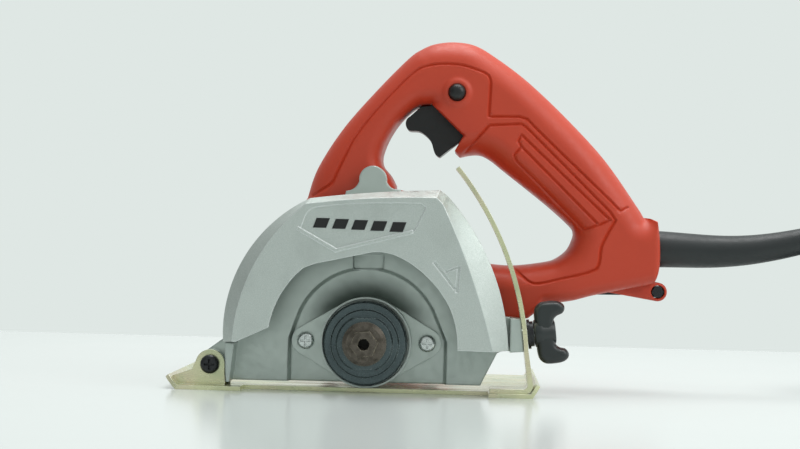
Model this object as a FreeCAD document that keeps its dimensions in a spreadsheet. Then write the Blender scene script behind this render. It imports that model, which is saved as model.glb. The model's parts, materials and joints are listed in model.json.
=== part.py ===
import FreeCAD, Part
import math
import os
import re

from FreeCAD import Placement, Rotation, Vector

# A hand-held slab saw (110 mm class cutter), millimetres, +Z up.
# Origin: on the sole's underside, below the spindle axis, in the middle plane of the blade.
# +X points to the rear (the cord), +Y from the blade side to the motor side.

doc = FreeCAD.newDocument("slab_saw")

# ---------------------------------------------------------------- driving dimensions
DIMS = {
    # spindle and gears
    "spindle_z": 23.0,
    "gear_module": 0.9,
    "gear_teeth": 37,
    "pinion_teeth": 14,
    "motor_x": 5.0,
    # blade case
    "case_front": -13.5,
    "case_bevel": 7.5,
    "case_wall": 3.0,
    "plate_front": 10.0,
    "plate_back": 17.0,
    "recess_depth": 4.0,
    "recess_radius": 34.4,
    # housings along Y
    "cover_front": 36.0,
    "cover_back": 44.0,
    "motor_back": 130.0,
    "motor_radius": 38.0,
    "motor_wall": 3.0,
    # sole
    "sole_thick": 2.0,
    "sole_front": -3.0,
    "sole_back": 115.0,
    "pivot_x": -71.1,
    "pivot_z": 11.4,
    "hinge_radius": 3.0,
    "ear_thick": 2.0,
    "near_ear": 4.0,
    "far_ear": 26.0,
    # depth guide and its clamp
    "guide_radius": 143.65,
    "guide_thick": 2.0,
    "guide_near": -2.0,
    "guide_width": 18.0,
    "slot_width": 6.8,
    "clamp_angle": 6.8,
    "clamp_y": 7.0,
    "clamp_gap": 0.3,
    "stud_radius": 3.0,
    # flanges
    "collar_radius": 20.8,
    "collar_front": 5.0,
    "retainer_screw_x": 28.0,
    # fits
    "running_gap": 0.05,
    # handle
    "handle_near": 22.0,
    "handle_mid": 42.0,
    "handle_far": 62.0,
    "trigger_width": 14.0,
    "lock_x": 38.9,
    "lock_z": 139.6,
    "lock_radius": 3.9,
    "lug_x": 131.0,
    "lug_z": 48.7,
    # cord
    "cord_radius": 4.0,
    "guard_x": 135.4,
    "guard_z": 68.8,
    "coil_x": 268.0,
    "coil_y": 72.0,
    "coil_mean": 44.0,
}
CENTRE_DISTANCE = DIMS["gear_module"] * (DIMS["gear_teeth"] + DIMS["pinion_teeth"]) / 2
DIMS["motor_z"] = DIMS["spindle_z"] + math.sqrt(CENTRE_DISTANCE**2 - DIMS["motor_x"] ** 2)

sheet = doc.addObject("Spreadsheet::Sheet", "dims")
for row, (alias, number) in enumerate(DIMS.items(), start=1):
    sheet.set(f"A{row}", alias)
    sheet.set(f"B{row}", f"{number:.6f}")
    sheet.setAlias(f"B{row}", alias)
doc.recompute()

SPINDLE = ("0", "0", "spindle_z")
MOTOR = ("motor_x", "0", "motor_z")
TURN = {
    "x": Rotation(Vector(0, 1, 0), 90),
    "y": Rotation(Vector(1, 0, 0), -90),
    "z": Rotation(),
}
nodes = {}


def size(alias):
    """One number of the sheet, for shapes that are worked out in code."""
    return float(sheet.get(alias))


def bind(obj, prop, formula):
    """Binds a property to a formula in which the sheet's aliases stand as plain words."""
    words = re.sub(r"[a-z]\w*", lambda w: "dims." + w[0] if w[0] in DIMS else w[0], str(formula))
    obj.setExpression(prop, words)


def place(obj, at, rotation=Rotation()):
    obj.Placement = Placement(Vector(), rotation)
    for letter, formula in zip("xyz", at):
        bind(obj, f"Placement.Base.{letter}", formula)
    return obj


def lift(at, y):
    """The same axis point, at another place along Y."""
    return (at[0], y, at[2])


def cylinder(name, radius, length, at, along="y", rotation=None):
    obj = doc.addObject("Part::Cylinder", name)
    bind(obj, "Radius", radius)
    bind(obj, "Height", length)
    return place(obj, at, rotation or TURN[along])


def torus(name, mean, tube, at, along="y"):
    obj = doc.addObject("Part::Torus", name)
    bind(obj, "Radius1", mean)
    bind(obj, "Radius2", tube)
    return place(obj, at, TURN[along])


def box(name, lengths, at, rotation=Rotation()):
    obj = doc.addObject("Part::Box", name)
    for prop, formula in zip(("Length", "Width", "Height"), lengths):
        bind(obj, prop, formula)
    return place(obj, at, rotation)


def fuse(name, *shapes):
    obj = doc.addObject("Part::MultiFuse", name)
    obj.Shapes = list(shapes)
    return obj


def cut(name, base, *tools):
    obj = doc.addObject("Part::Cut", name)
    obj.Base = base
    obj.Tool = tools[0] if len(tools) == 1 else fuse(name + "_tools", *tools)
    return obj


def common(name, base, tool):
    obj = doc.addObject("Part::Common", name)
    obj.Base = base
    obj.Tool = tool
    return obj


def group(name, *shapes):
    """Several separate solids that are one node, such as a set of screws."""
    obj = doc.addObject("Part::Compound", name)
    obj.Links = list(shapes)
    return obj


def ring(name, outer, inner, length, at, along="y"):
    return cut(
        name,
        cylinder(name + "_outside", outer, length, at, along),
        cylinder(name + "_bore", inner, length, at, along),
    )


def flat(point):
    return Vector(point[0], point[1], 0)


def outline(start, *steps):
    """A closed outline: a point is a straight edge's end, ("arc", middle, end) an arc,
    and ("curve", points...) a smooth curve through the points."""
    edges = []
    here = flat(start)
    for step in list(steps) + [start]:
        if step[0] == "arc":
            end = flat(step[2])
            edges.append(Part.Arc(here, flat(step[1]), end))
        elif step[0] == "curve":
            curve = Part.BSplineCurve()
            curve.interpolate([here] + [flat(p) for p in step[1:]])
            edges.append(curve)
            end = flat(step[-1])
        else:
            end = flat(step)
            if (end - here).Length > 1e-6:
                edges.append(Part.LineSegment(here, end))
        here = end
    return edges


def plane(body, role):
    return next(f for f in body.Origin.OriginFeatures if f.Role == role)


def sketch_in(body, role, edges):
    sketch = body.newObject("Sketcher::SketchObject", body.Name + "_sketch")
    sketch.AttachmentSupport = [(plane(body, role), "")]
    sketch.MapMode = "FlatFace"
    sketch.addGeometry(edges, False)
    return sketch


def pad_y(name, edges, start, depth):
    """An outline in X and Z, padded along +Y from start."""
    body = doc.addObject("PartDesign::Body", name)
    sketch = sketch_in(body, "XZ_Plane", edges)
    pad = body.newObject("PartDesign::Pad", name + "_pad")
    pad.Profile = sketch
    pad.Reversed = True
    bind(pad, "Length", depth)
    sketch.Visibility = False
    return place(body, ("0", start, "0"))


def pad_z(name, edges, start, depth):
    """An outline in X and Y, padded along +Z from start."""
    body = doc.addObject("PartDesign::Body", name)
    sketch = sketch_in(body, "XY_Plane", edges)
    pad = body.newObject("PartDesign::Pad", name + "_pad")
    pad.Profile = sketch
    bind(pad, "Length", depth)
    return place(body, ("0", "0", start))


def turned(name, profile, at, rotation=Rotation()):
    """A profile of (radius, distance along the axis) points, turned about the +Y axis at at."""
    body = doc.addObject("PartDesign::Body", name)
    sketch = sketch_in(body, "XY_Plane", outline(*profile))
    revolution = body.newObject("PartDesign::Revolution", name + "_revolution")
    revolution.Profile = sketch
    revolution.ReferenceAxis = (sketch, ["V_Axis"])
    revolution.Angle = 360
    return place(body, at, rotation)


def feature(name, shape):
    obj = doc.addObject("Part::Feature", name)
    obj.Shape = shape
    return obj


def node(name, obj):
    obj.Label = name
    nodes[name] = obj
    return obj


def polar(centre, radius, degrees):
    """A point in X and Z at an angle about a centre."""
    angle = math.radians(degrees)
    return (centre[0] + radius * math.cos(angle), centre[1] + radius * math.sin(angle))


def hexagon(across_flats, centre=(0, 0), turn=0):
    corners = [polar(centre, across_flats / math.sqrt(3), turn + 60 * k) for k in range(6)]
    return outline(*corners)


def pan_head(name, at, radius, height, shank, length):
    """A pan-head screw along +Y whose head's underside is at at, with a cross recess."""
    x, y, z = at
    head = turned(
        name + "_head",
        [(0, -height), (radius * 0.55, -height),
         ("arc", (radius * 0.88, -height * 0.8), (radius, -height * 0.35)), (radius, 0), (0, 0)],
        at,
    )
    shaft = cylinder(name + "_shank", shank, length, at)
    slot_depth = height * 0.6
    arm, width = radius * 1.1, radius * 0.22
    bar = box(name + "_bar", (arm, slot_depth, width),
              (f"{x} - {arm / 2}", f"{y} - {height}", f"{z} - {width / 2}"))
    post = box(name + "_post", (width, slot_depth, arm),
               (f"{x} - {width / 2}", f"{y} - {height}", f"{z} - {arm / 2}"))
    return cut(name, fuse(name + "_solid", head, shaft), bar, post)


# ---------------------------------------------------------------- outlines shared by castings
CASE_SIDE = [
    (-64.1, 22.4),
    ("arc", (-53.4, 64.2), (-26.1, 88.3)),
    ("arc", (1.2, 91.4), (32.5, 93.2)),
    (35.7, 91.1),
    ("arc", (53.5, 65.8), (65.0, 21.6)),
]
CASE_FACE = [
    (-59.2, 22.9),
    ("arc", (-46.3, 64.4), (-27.5, 85.6)),
    ("arc", (0, 88.6), (31.2, 89.6)),
    (34.1, 86.9),
    ("arc", (48.3, 53.3), (58.1, 21.3)),
]


def shrunk(edges, distance):
    """An outline moved inwards by a distance."""
    wire = Part.Wire(Part.__sortEdges__([edge.toShape() for edge in edges]))
    smaller = wire.makeOffset2D(-distance)
    if Part.Face(smaller).Area > Part.Face(wire).Area:
        smaller = wire.makeOffset2D(distance)
    return smaller


def stood_up(wire, y):
    """A wire drawn in X and Y, stood in the X-Z plane at y."""
    placed = wire.copy()
    placed.rotate(Vector(), Vector(1, 0, 0), 90)
    placed.translate(Vector(0, y, 0))
    return placed


# ---------------------------------------------------------------- blade case
CASE_SCREWS = ((-56.2, 40.0), (52.1, 52.0))


def blade_case():
    """The cast guard: a bevelled near wall with an arch, on a side wall that is open below."""
    front, bevel = size("case_front"), size("case_bevel")
    wall, back = size("case_wall"), size("plate_front")
    side = outline(*CASE_SIDE)
    face = outline(*CASE_FACE)

    def shell(inset, near, shoulder, far):
        """The case's solid form, a distance inside its outer skin."""
        near_wire = stood_up(shrunk(face, inset) if inset else wire_of(face), near)
        side_wire = stood_up(shrunk(side, inset) if inset else wire_of(side), shoulder)
        bevelled = Part.makeLoft([near_wire, side_wire], True, True)
        straight = Part.Face(side_wire).extrude(Vector(0, far - shoulder, 0))
        return bevelled.fuse(straight)

    outer = shell(0, front, front + bevel, back)
    inner = shell(wall, front + wall, front + bevel + wall / 2, back + 1)
    hollow = outer.cut(inner).removeSplitter()
    casting = feature("blade_case_casting", hollow)

    mouth = box("blade_case_mouth", (122.4, "plate_front - case_front - case_bevel", 8),
                (-60.9, "case_front + case_bevel", 18.5))
    arch = pad_y(
        "blade_case_arch",
        outline((-58.3, 12), (-58.3, 22.5), (-42.8, 29.8), ("arc", (-37.8, 44.6), (-27.8, 56.8)),
                (-22.5, 58.9), (3.0, 64.6),
                ("curve", (10.5, 64.2), (22.5, 58.4), (32.3, 49.4), (39.2, 38.2), (41.9, 27.0), (42.2, 20.4)),
                (42.2, 12)),
        "case_front - 1", "case_wall + 8")
    panel = pad_y(
        "blade_case_panel",
        outline((-27.8, 79.6), ("curve", (-25.4, 83.0), (-18.7, 84.8), (-3, 86.3), (12, 86.9), (24.6, 87.0)),
                (26.6, 85.2), (21.6, 74.6), (-13.0, 65.4), (-29.6, 74.4)),
        "case_front - 1", "1.5")
    arrow_shaft = groove("arrow_shaft", (30.7, 60.9), (40.4, 49.0), 1.3)
    arrow_head = groove("arrow_head", (35.7, 56.6), (42.2, 59.0), 1.0)
    arrow_edge = groove("arrow_edge", (42.0, 59.4), (41.2, 47.4), 1.3)
    opened = cut("blade_case_open", casting, mouth, arch, panel, arrow_shaft, arrow_head, arrow_edge)
    ridge = ridge_bar("ridge_left", (-30.9, 74.6), (-13.0, 64.8), 1.7)
    other = ridge_bar("ridge_right", (-13.6, 65.0), (20.9, 74.2), 1.5)
    bosses, bores, screws = [], [], []
    for k, (x, z) in enumerate(CASE_SCREWS):
        bosses.append(cylinder(f"blade_case_boss_{k}", 5.5, 4, (x, "plate_front - 4", z)))
        bores.append(cylinder(f"blade_case_bore_{k}", 2.1, 6, (x, "plate_front - 5", z)))
        screws.append(pan_head(f"case_screw_{k}", (x, "plate_front - 4", z), 3.6, 2.4, 2.0, 9))
    node("blade_case", cut("blade_case", fuse("blade_case_whole", opened, ridge, other, *bosses), *bores))
    node("blade_case_screws", group("blade_case_screws", *screws))


def wire_of(edges):
    return Part.Wire(Part.__sortEdges__([edge.toShape() for edge in edges]))


def strip(start, end, width):
    """A straight strip's outline from start to end."""
    dx, dz = end[0] - start[0], end[1] - start[1]
    length = math.hypot(dx, dz)
    nx, nz = -dz / length * width / 2, dx / length * width / 2
    return outline(
        (start[0] - nx, start[1] - nz), (end[0] - nx, end[1] - nz),
        (end[0] + nx, end[1] + nz), (start[0] + nx, start[1] + nz))


def groove(name, start, end, width):
    return pad_y(name, strip(start, end, width), "case_front - 1", "1.6")


def ridge_bar(name, start, end, width):
    return pad_y(name, strip(start, end, width), "case_front - 0.5", "1.5")


# ---------------------------------------------------------------- gear housing
def gear_housing():
    """The casting behind the blade: front plate with the arch recess, pot, lugs and screw boss."""
    plate = pad_y(
        "gear_plate",
        outline((-64.1, 22.4), *CASE_SIDE[1:], (60.2, 19.5), (52.8, 4.4), (-58.5, 4.1), (-61.7, 4.1)),
        "plate_front", "plate_back - plate_front")
    rib = pad_y(
        "gear_rib",
        outline((-63.6, 21.8), (-59.4, 21.8), (-61.2, 4.1), (-62.6, 4.1)), "-4", "plate_front + 5")
    pot = cylinder("gear_pot", 36, "cover_front - plate_back + 1", lift(MOTOR, "plate_back - 1"))
    toe = pad_y(
        "gear_toe",
        outline((-22, 40), (-22, 14), ("arc", (0, 2.9), (22, 14)), (22, 40)),
        "plate_back - 1", "cover_front - plate_back + 1")
    boss = pad_y(
        "top_boss",
        outline((-12.5, 86), (-11.0, 92.4), ("arc", (-7.2, 93.8), (-5.1, 97.0)),
                ("arc", (1.2, 104.2), (7.3, 97.2)), ("arc", (9.6, 94.4), (13.8, 93.6)), (15, 86)),
        "plate_front + 1", "handle_near - plate_front - 1.3")
    axis = math.radians(size("clamp_angle"))
    reach = size("guide_radius") - size("clamp_gap")
    tip = (size("pivot_x") + reach * math.cos(axis), size("pivot_z") + reach * math.sin(axis))
    up = (-math.sin(axis) * 7.4, math.cos(axis) * 7.4)
    top, low = (tip[0] + up[0], tip[1] + up[1]), (tip[0] - up[0], tip[1] - up[1])
    clamp_lug = pad_y(
        "clamp_lug", outline((65.8, top[1] + 0.5), top, low, (65.8, low[1] - 0.5)),
        "clamp_y - 8", "plate_back - clamp_y + 8")
    clamp_root = pad_y(
        "clamp_root",
        outline((57, top[1] + 0.5), (66.5, top[1] + 0.4), (66.5, low[1] - 0.5), (57, low[1] - 0.5)),
        "plate_front + 0.2", "plate_back - plate_front - 0.2")
    hinge_web = pad_y(
        "hinge_web",
        outline((-75.2, 16.2), (-66.0, 23.0), (-56, 27), (-56, 6), (-68, 5.6)),
        "near_ear + ear_thick + 4.3", "far_ear - near_ear - ear_thick - 4.6")
    hinge_boss = cylinder(
        "hinge_boss", 6.4, "far_ear - near_ear - ear_thick - 0.6",
        ("pivot_x", "near_ear + ear_thick + 0.3", "pivot_z"))
    solid = fuse("gear_solid", plate, rib, pot, toe, boss, clamp_lug, clamp_root, hinge_web, hinge_boss)

    recess = recess_tool()
    notch = pad_y("notch_pocket", outline((-6.9, 56.4), (7.2, 56.4), (7.2, 63.5), (-6.9, 63.5)),
                  "plate_front - 1", "5.0")
    gear_bay = cylinder("gear_bay", 18.0, "cover_front - plate_back - 1.6", lift(SPINDLE, "plate_back + 1.6"))
    box_bore = cylinder("bearing_box_bore", "18 + 0.01", "10", lift(SPINDLE, "plate_front + 1"))
    pinion_bay = cylinder("pinion_bay", 26.0, "cover_front - plate_back - 3", lift(MOTOR, "plate_back + 3"))
    floor = box("gear_floor", (110, 40, 20), (-55, "plate_back", -17.4))
    hinge_bore = cylinder("hinge_bore", "hinge_radius + running_gap", 40, ("pivot_x", 0, "pivot_z"))
    bore_x = 64.8
    stud_bore = cylinder(
        "stud_bore", "stud_radius + running_gap", 40,
        (bore_x, "clamp_y", f"{tip[1] - (tip[0] - bore_x) * math.tan(axis)}"),
        rotation=Rotation(Vector(0, 1, 0), 90 - math.degrees(axis)))
    boss_bore = cylinder("boss_bore", 2.1, 30, (1.0, "plate_back - 1", 98.0))
    tools = [recess, notch, gear_bay, box_bore, pinion_bay, floor, hinge_bore, stud_bore, boss_bore]
    for side in (-1, 1):
        tools.append(cylinder(f"retainer_thread_{side + 1}", "2.0", 12,
                              (f"{side} * retainer_screw_x", "plate_front", "spindle_z")))
    for k, (x, z) in enumerate(CASE_SCREWS):
        tools.append(cylinder(f"case_thread_{k}", 2.0, 6, (x, "plate_front - 1", z)))
    node("gear_housing", cut("gear_housing", solid, *tools))


def recess_tool():
    """The arch recess in the front plate, with sloping sides, open at the bottom."""
    depth, radius = size("recess_depth"), size("recess_radius")
    slope = 1.2

    def arch(inset):
        r = radius - inset
        left, right = -36.0 + inset, 37.0 - inset
        start, end = polar((0, size("spindle_z")), r, 158), polar((0, size("spindle_z")), r, 22)
        top = (0, size("spindle_z") + r)
        return wire_of(outline((left, -5), (left, 24), start, ("arc", top, end), (right, 24), (right, -5)))

    near = size("plate_front")
    tool = Part.makeLoft([stood_up(arch(-0.3), near - 0.5), stood_up(arch(slope), near + depth)], True, True)
    return feature("recess_tool", tool)


def gear_housing_cover():
    """The inner plate that closes the gear housing and holds the two inner bearings."""
    disc = cylinder("cover_disc", 36, "cover_back - cover_front", lift(MOTOR, "cover_front"))
    toe = pad_y("cover_toe", outline((-22, 40), (-22, 14), ("arc", (0, 2.9), (22, 14)), (22, 40)),
                "cover_front", "cover_back - cover_front")
    floor = box("cover_floor", (110, 40, 20), (-55, "plate_back", -17.4))
    armature_seat = cylinder("armature_seat", 13.0, "8", lift(MOTOR, "cover_front"))
    spindle_seat = cylinder("spindle_seat", 9.5, "6", lift(SPINDLE, "cover_front"))
    node("gear_housing_cover", cut("gear_housing_cover", fuse("cover_solid", disc, toe), floor,
                                   armature_seat, spindle_seat))


def bearing_retainer():
    """The rhombic bearing box: a plate with two screws, a collar round the flange and a spigot."""
    screw_x, spindle_z = size("retainer_screw_x"), size("spindle_z")
    ear, core = 6.5, 20.8
    lean = math.degrees(math.acos((core - ear) / screw_x))
    centre = (0, spindle_z)
    right, left = (screw_x, spindle_z), (-screw_x, spindle_z)
    rhombus = outline(
        polar(centre, core, lean), polar(right, ear, lean),
        ("arc", polar(right, ear, 0), polar(right, ear, -lean)),
        polar(centre, core, -lean), ("arc", polar(centre, core, -90), polar(centre, core, 180 + lean)),
        polar(left, ear, 180 + lean), ("arc", polar(left, ear, 180), polar(left, ear, 180 - lean)),
        polar(centre, core, 180 - lean), ("arc", polar(centre, core, 90), polar(centre, core, lean)))
    plate = pad_y("retainer_plate", rhombus, "plate_front + recess_depth - 2.5", "2.5")
    collar = cylinder("retainer_collar", "collar_radius", "plate_front + recess_depth - collar_front",
                      lift(SPINDLE, "collar_front"))
    spigot = cylinder("retainer_spigot", 18, "11", lift(SPINDLE, "plate_front + recess_depth"))
    clear = cylinder("collar_bore", "collar_radius - 0.9", "5.5", lift(SPINDLE, "collar_front"))
    neck = cylinder("retainer_neck", 12.0, "40", lift(SPINDLE, "0"))
    seat = cylinder("bearing_seat", 16.0, "20", lift(SPINDLE, "15"))
    holes = [cylinder(f"retainer_hole_{side + 1}", 2.2, 20, (f"{side} * retainer_screw_x", 5, "spindle_z"))
             for side in (-1, 1)]
    node("bearing_retainer", cut("bearing_retainer", fuse("retainer_solid", plate, collar, spigot),
                                 clear, neck, seat, *holes))
    screws = [pan_head(f"retainer_screw_{side + 1}",
                       (f"{side} * retainer_screw_x", "plate_front + recess_depth - 2.5", "spindle_z"),
                       4.0, 2.6, 1.98, 9) for side in (-1, 1)]
    node("retainer_screws", group("retainer_screws", *screws))


# ---------------------------------------------------------------- spindle and its flanges
def involute_gear(name, teeth, centre, tooth_angle, start, length, addendum, hole):
    """A spur gear about the Y direction, with one tooth at tooth_angle in X and Z."""
    module = size("gear_module")
    pitch_r = module * teeth / 2
    base_r = pitch_r * math.cos(math.radians(20))
    tip_r, root_r = pitch_r + addendum * module, pitch_r - 1.2 * module
    backlash = 0.22
    involute = lambda r: math.tan(math.acos(base_r / r)) - math.acos(base_r / r)
    half_pitch = math.pi / (2 * teeth) - backlash / (2 * pitch_r) + involute(pitch_r)
    first_r = max(base_r * 1.0001, root_r)
    radii = [first_r + (tip_r - first_r) * k / 4 for k in range(5)]
    flank = [(r, half_pitch - involute(r)) for r in radii]
    if root_r < first_r:
        flank.insert(0, (root_r, flank[0][1] * 1.02))

    def at(r, angle):
        return Vector(r * math.cos(angle), 0, r * math.sin(angle))

    corners = []
    for tooth in range(teeth):
        middle = math.radians(tooth_angle) + 2 * math.pi * tooth / teeth
        corners += [at(r, middle - a) for r, a in flank]
        corners += [at(r, middle + a) for r, a in reversed(flank)]
    wire = Part.makePolygon(corners + corners[:1])
    gear = Part.Face(wire).extrude(Vector(0, length, 0))
    if hole:
        gear = gear.cut(Part.makeCylinder(hole, length + 2, Vector(0, -1, 0), Vector(0, 1, 0)))
    solid = feature(name, gear)
    solid.Placement = Placement(Vector(centre[0], start, centre[1]), Rotation())
    return solid


def spindle_group():
    centre, motor = (0, size("spindle_z")), (size("motor_x"), size("motor_z"))
    line = math.degrees(math.atan2(motor[1] - centre[1], motor[0] - centre[0]))
    node("spindle", cut(
        "spindle",
        turned("spindle_turned",
               [(0, -4), (5.98, -4), (5.98, 35), (3.48, 35), (3.48, 41.8), (0, 41.8)], SPINDLE),
        cylinder("spindle_thread", "3.0", 18, lift(SPINDLE, "-4"))))
    gear = involute_gear("spindle_gear", int(size("gear_teeth")), centre, line + 180 / size("gear_teeth"),
                         26.5, 8, 0.8, 6.0)
    windows = []
    for k in range(6):
        dx, dz = polar((0, 0), 11.4, 60 * k)
        windows.append(cylinder(f"gear_window_{k}", 2.6, 10, (f"{dx:.4f}", 26, f"spindle_z + {dz:.4f}")))
    node("spindle_gear", cut("spindle_gear", gear, *windows))
    node("inner_flange", turned(
        "inner_flange",
        [(6.0, 1.2), (18.3, 1.2), (19.0, 1.9), (19.0, 6.4), (17.5, 8.0), (11.4, 8.0), (11.4, 10.6),
         (8.6, 12.2), (8.6, 15.0), (6.0, 15.0)], SPINDLE))
    body = turned(
        "outer_flange_turned",
        [(3.2, -6.3), (12.2, -6.3), (13.0, -5.5), (13.0, -4.0), (14.9, -4.0), (15.6, -3.3), (15.6, -2.8),
         (18.2, -2.8), (19.0, -2.0), (19.0, 1.2), (11.5, 1.2), (11.5, -0.4), (6.05, -0.4), (6.05, -4.05),
         (3.2, -4.05)], SPINDLE)
    keep = box("flange_flats", (40, 2.3, 23), (-20, -6.3, "spindle_z - 11.5"))
    rest = box("flange_rest", (40, 6, 40), (-20, -4.0, "spindle_z - 20"))
    node("outer_flange", common("outer_flange", body, fuse("flange_keep", keep, rest)))
    flange = turned("bolt_flange", [(0, -7.9), (8.2, -7.9), (10.0, -7.0), (10.0, -6.3), (0, -6.3)], SPINDLE)
    head = common(
        "bolt_head",
        pad_y("bolt_hexagon", hexagon(11.0, centre, 8), "-11.8", "4.2"),
        turned("bolt_crown", [(0, -11.8), (5.6, -11.8), (7.0, -11.0), (7.0, -7.6), (0, -7.6)], SPINDLE))
    shank = cylinder("bolt_shank", "2.95", 17, lift(SPINDLE, "-6.5"))
    socket = pad_y("bolt_socket", hexagon(5.0, centre, 8), "-12.5", "8.5")
    node("flange_bolt", cut("flange_bolt", fuse("bolt_solid", flange, head, shank), socket))


def ball_bearing(name, at, start, bore, outside, width, balls):
    """Outer ring, inner ring and balls of a deep-groove bearing about the Y direction."""
    mean = (bore + outside) / 2
    ball = (outside - bore) * 0.27
    wall = (outside - bore) * 0.34
    here = lift(at, start)
    middle = lift(at, f"{start} + {width / 2}")
    outer = cut(name + "_outer", ring(name + "_outer_ring", outside - 0.01, outside - wall, width, here),
                torus(name + "_outer_groove", mean, ball + 0.03, middle))
    inner = cut(name + "_inner", ring(name + "_inner_ring", bore + wall, bore, width, here),
                torus(name + "_inner_groove", mean, ball + 0.03, middle))
    spheres = []
    for k in range(balls):
        angle = 2 * math.pi * k / balls
        sphere = doc.addObject("Part::Sphere", f"{name}_ball_{k}")
        sphere.Radius = ball - 0.03
        spheres.append(place(sphere, (f"{at[0]} + {mean * math.cos(angle):.4f}", f"{start} + {width / 2}",
                                      f"{at[2]} + {mean * math.sin(angle):.4f}")))
    return outer, inner, spheres


def bearings():
    front = ball_bearing("spindle_front", SPINDLE, "15", 6, 16, 10, 8)
    back = ball_bearing("spindle_back", SPINDLE, "cover_front", 3.5, 9.5, 6, 7)
    drive = ball_bearing("armature_front", MOTOR, "cover_front", 5, 13, 8, 8)
    tail = ball_bearing("armature_back", MOTOR, "motor_back + 6", 3.5, 9.5, 6, 7)
    node("spindle_bearing_outer_rings", group("spindle_bearing_outer_rings", front[0], back[0]))
    node("spindle_bearing_inner_rings", group("spindle_bearing_inner_rings", front[1], back[1]))
    node("armature_bearing_outer_rings", group("armature_bearing_outer_rings", drive[0], tail[0]))
    node("armature_bearing_inner_rings", group("armature_bearing_inner_rings", drive[1], tail[1]))
    node("bearing_balls", group("bearing_balls", *front[2], *back[2], *drive[2], *tail[2]))


# ---------------------------------------------------------------- motor
def sector(name, outer, inner, half_angle, middle_angle, start, length):
    """A sector of a ring about the motor axis, half_angle each side of middle_angle."""
    centre = (size("motor_x"), size("motor_z"))
    low, high = middle_angle - half_angle, middle_angle + half_angle
    edges = outline(
        polar(centre, inner, low), polar(centre, outer, low),
        ("arc", polar(centre, outer, middle_angle), polar(centre, outer, high)),
        polar(centre, inner, high), ("arc", polar(centre, inner, middle_angle), polar(centre, inner, low)))
    return pad_y(name, edges, start, length)


def armature_group():
    centre, spindle = (size("motor_x"), size("motor_z")), (0, size("spindle_z"))
    line = math.degrees(math.atan2(spindle[1] - centre[1], spindle[0] - centre[0]))
    pinion = involute_gear("pinion", int(size("pinion_teeth")), centre, line, 25.8, 9.4, 0.9, None)
    shaft = turned(
        "armature_turned",
        [(0, 25.8), (4.4, 25.8), (4.4, 35.2), (4.98, 35.8), (4.98, 112), (4.5, 113), (4.5, 135.8),
         (3.48, 136), (3.48, 142), (0, 142)], MOTOR)
    node("armature_shaft", fuse("armature_shaft", pinion, shaft))
    slots = []
    for k in range(12):
        dx, dz = polar((0, 0), 15.6, 30 * k)
        slots.append(cylinder(f"core_slot_{k}", 1.9, 42, (f"motor_x + {dx:.4f}", 63, f"motor_z + {dz:.4f}")))
    node("armature_core", cut("armature_core", ring("core_stack", 19.0, 5.0, 40, lift(MOTOR, "64")), *slots))
    front_turns = turned("front_turns",
                         [(7, 60.5), ("arc", (12.5, 58.6), (16.8, 61.2)), (17.2, 64), (7, 64)], MOTOR)
    rear_turns = turned("rear_turns",
                        [(7, 104), (17.2, 104), ("arc", (15.8, 109), (11, 111.6)), (7, 112)], MOTOR)
    node("armature_windings", group("armature_windings", front_turns, rear_turns))
    gaps = [box(f"bar_gap_{k}", (14, 17, 0.5), ("motor_x", 113.6, "motor_z - 0.25"),
                Rotation(Vector(0, 1, 0), -15 * k)) for k in range(24)]
    core = cylinder("commutator_core", 9.2, 14, lift(MOTOR, "114"))
    bars = cut("commutator_bars", cylinder("commutator_blank", 11.0, 14, lift(MOTOR, "114")), *gaps)
    bore = cylinder("commutator_bore", 4.5, 20, lift(MOTOR, "112"))
    node("commutator", cut("commutator", fuse("commutator_solid", core, bars), bore))
    disc = ring("fan_disc", 32.5, 5.0, 2, lift(MOTOR, "46"))
    hub = ring("fan_hub", 9, 5.0, 10, lift(MOTOR, "46"))
    blades = [box(f"fan_blade_{k}", (19, 8.5, 1.4), ("motor_x", 47.5, "motor_z"),
                  Rotation(Vector(0, 1, 0), -30 * k)) for k in range(12)]
    for k, blade in enumerate(blades):
        angle = math.radians(30 * k)
        bind(blade, "Placement.Base.x", f"motor_x + {12.5 * math.cos(angle):.4f}")
        bind(blade, "Placement.Base.z", f"motor_z + {12.5 * math.sin(angle):.4f}")
    node("cooling_fan", fuse("cooling_fan", disc, hub, *blades))


def stator():
    yoke = ring("yoke", 34.4, 29.0, 40, lift(MOTOR, "64"))
    poles = [sector(f"pole_{k}", 29.6, 19.7, 38, 90 + 180 * k, "64", "40") for k in range(2)]
    node("field_core", fuse("field_core", yoke, *poles))
    coils = []
    for k in range(2):
        middle = 90 + 180 * k
        whole = sector(f"coil_block_{k}", 28.6, 20.4, 62, middle, "59.6", "48.8")
        window = sector(f"coil_window_{k}", 31, 18, 39.5, middle, "63.8", "40.4")
        coils.append(cut(f"field_coil_{k}", whole, window))
    node("field_windings", group("field_windings", *coils))
    baffle = ring("baffle_ring", 34.6, 30.0, 2.4, lift(MOTOR, "57"))
    node("fan_baffle", baffle)


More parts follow.
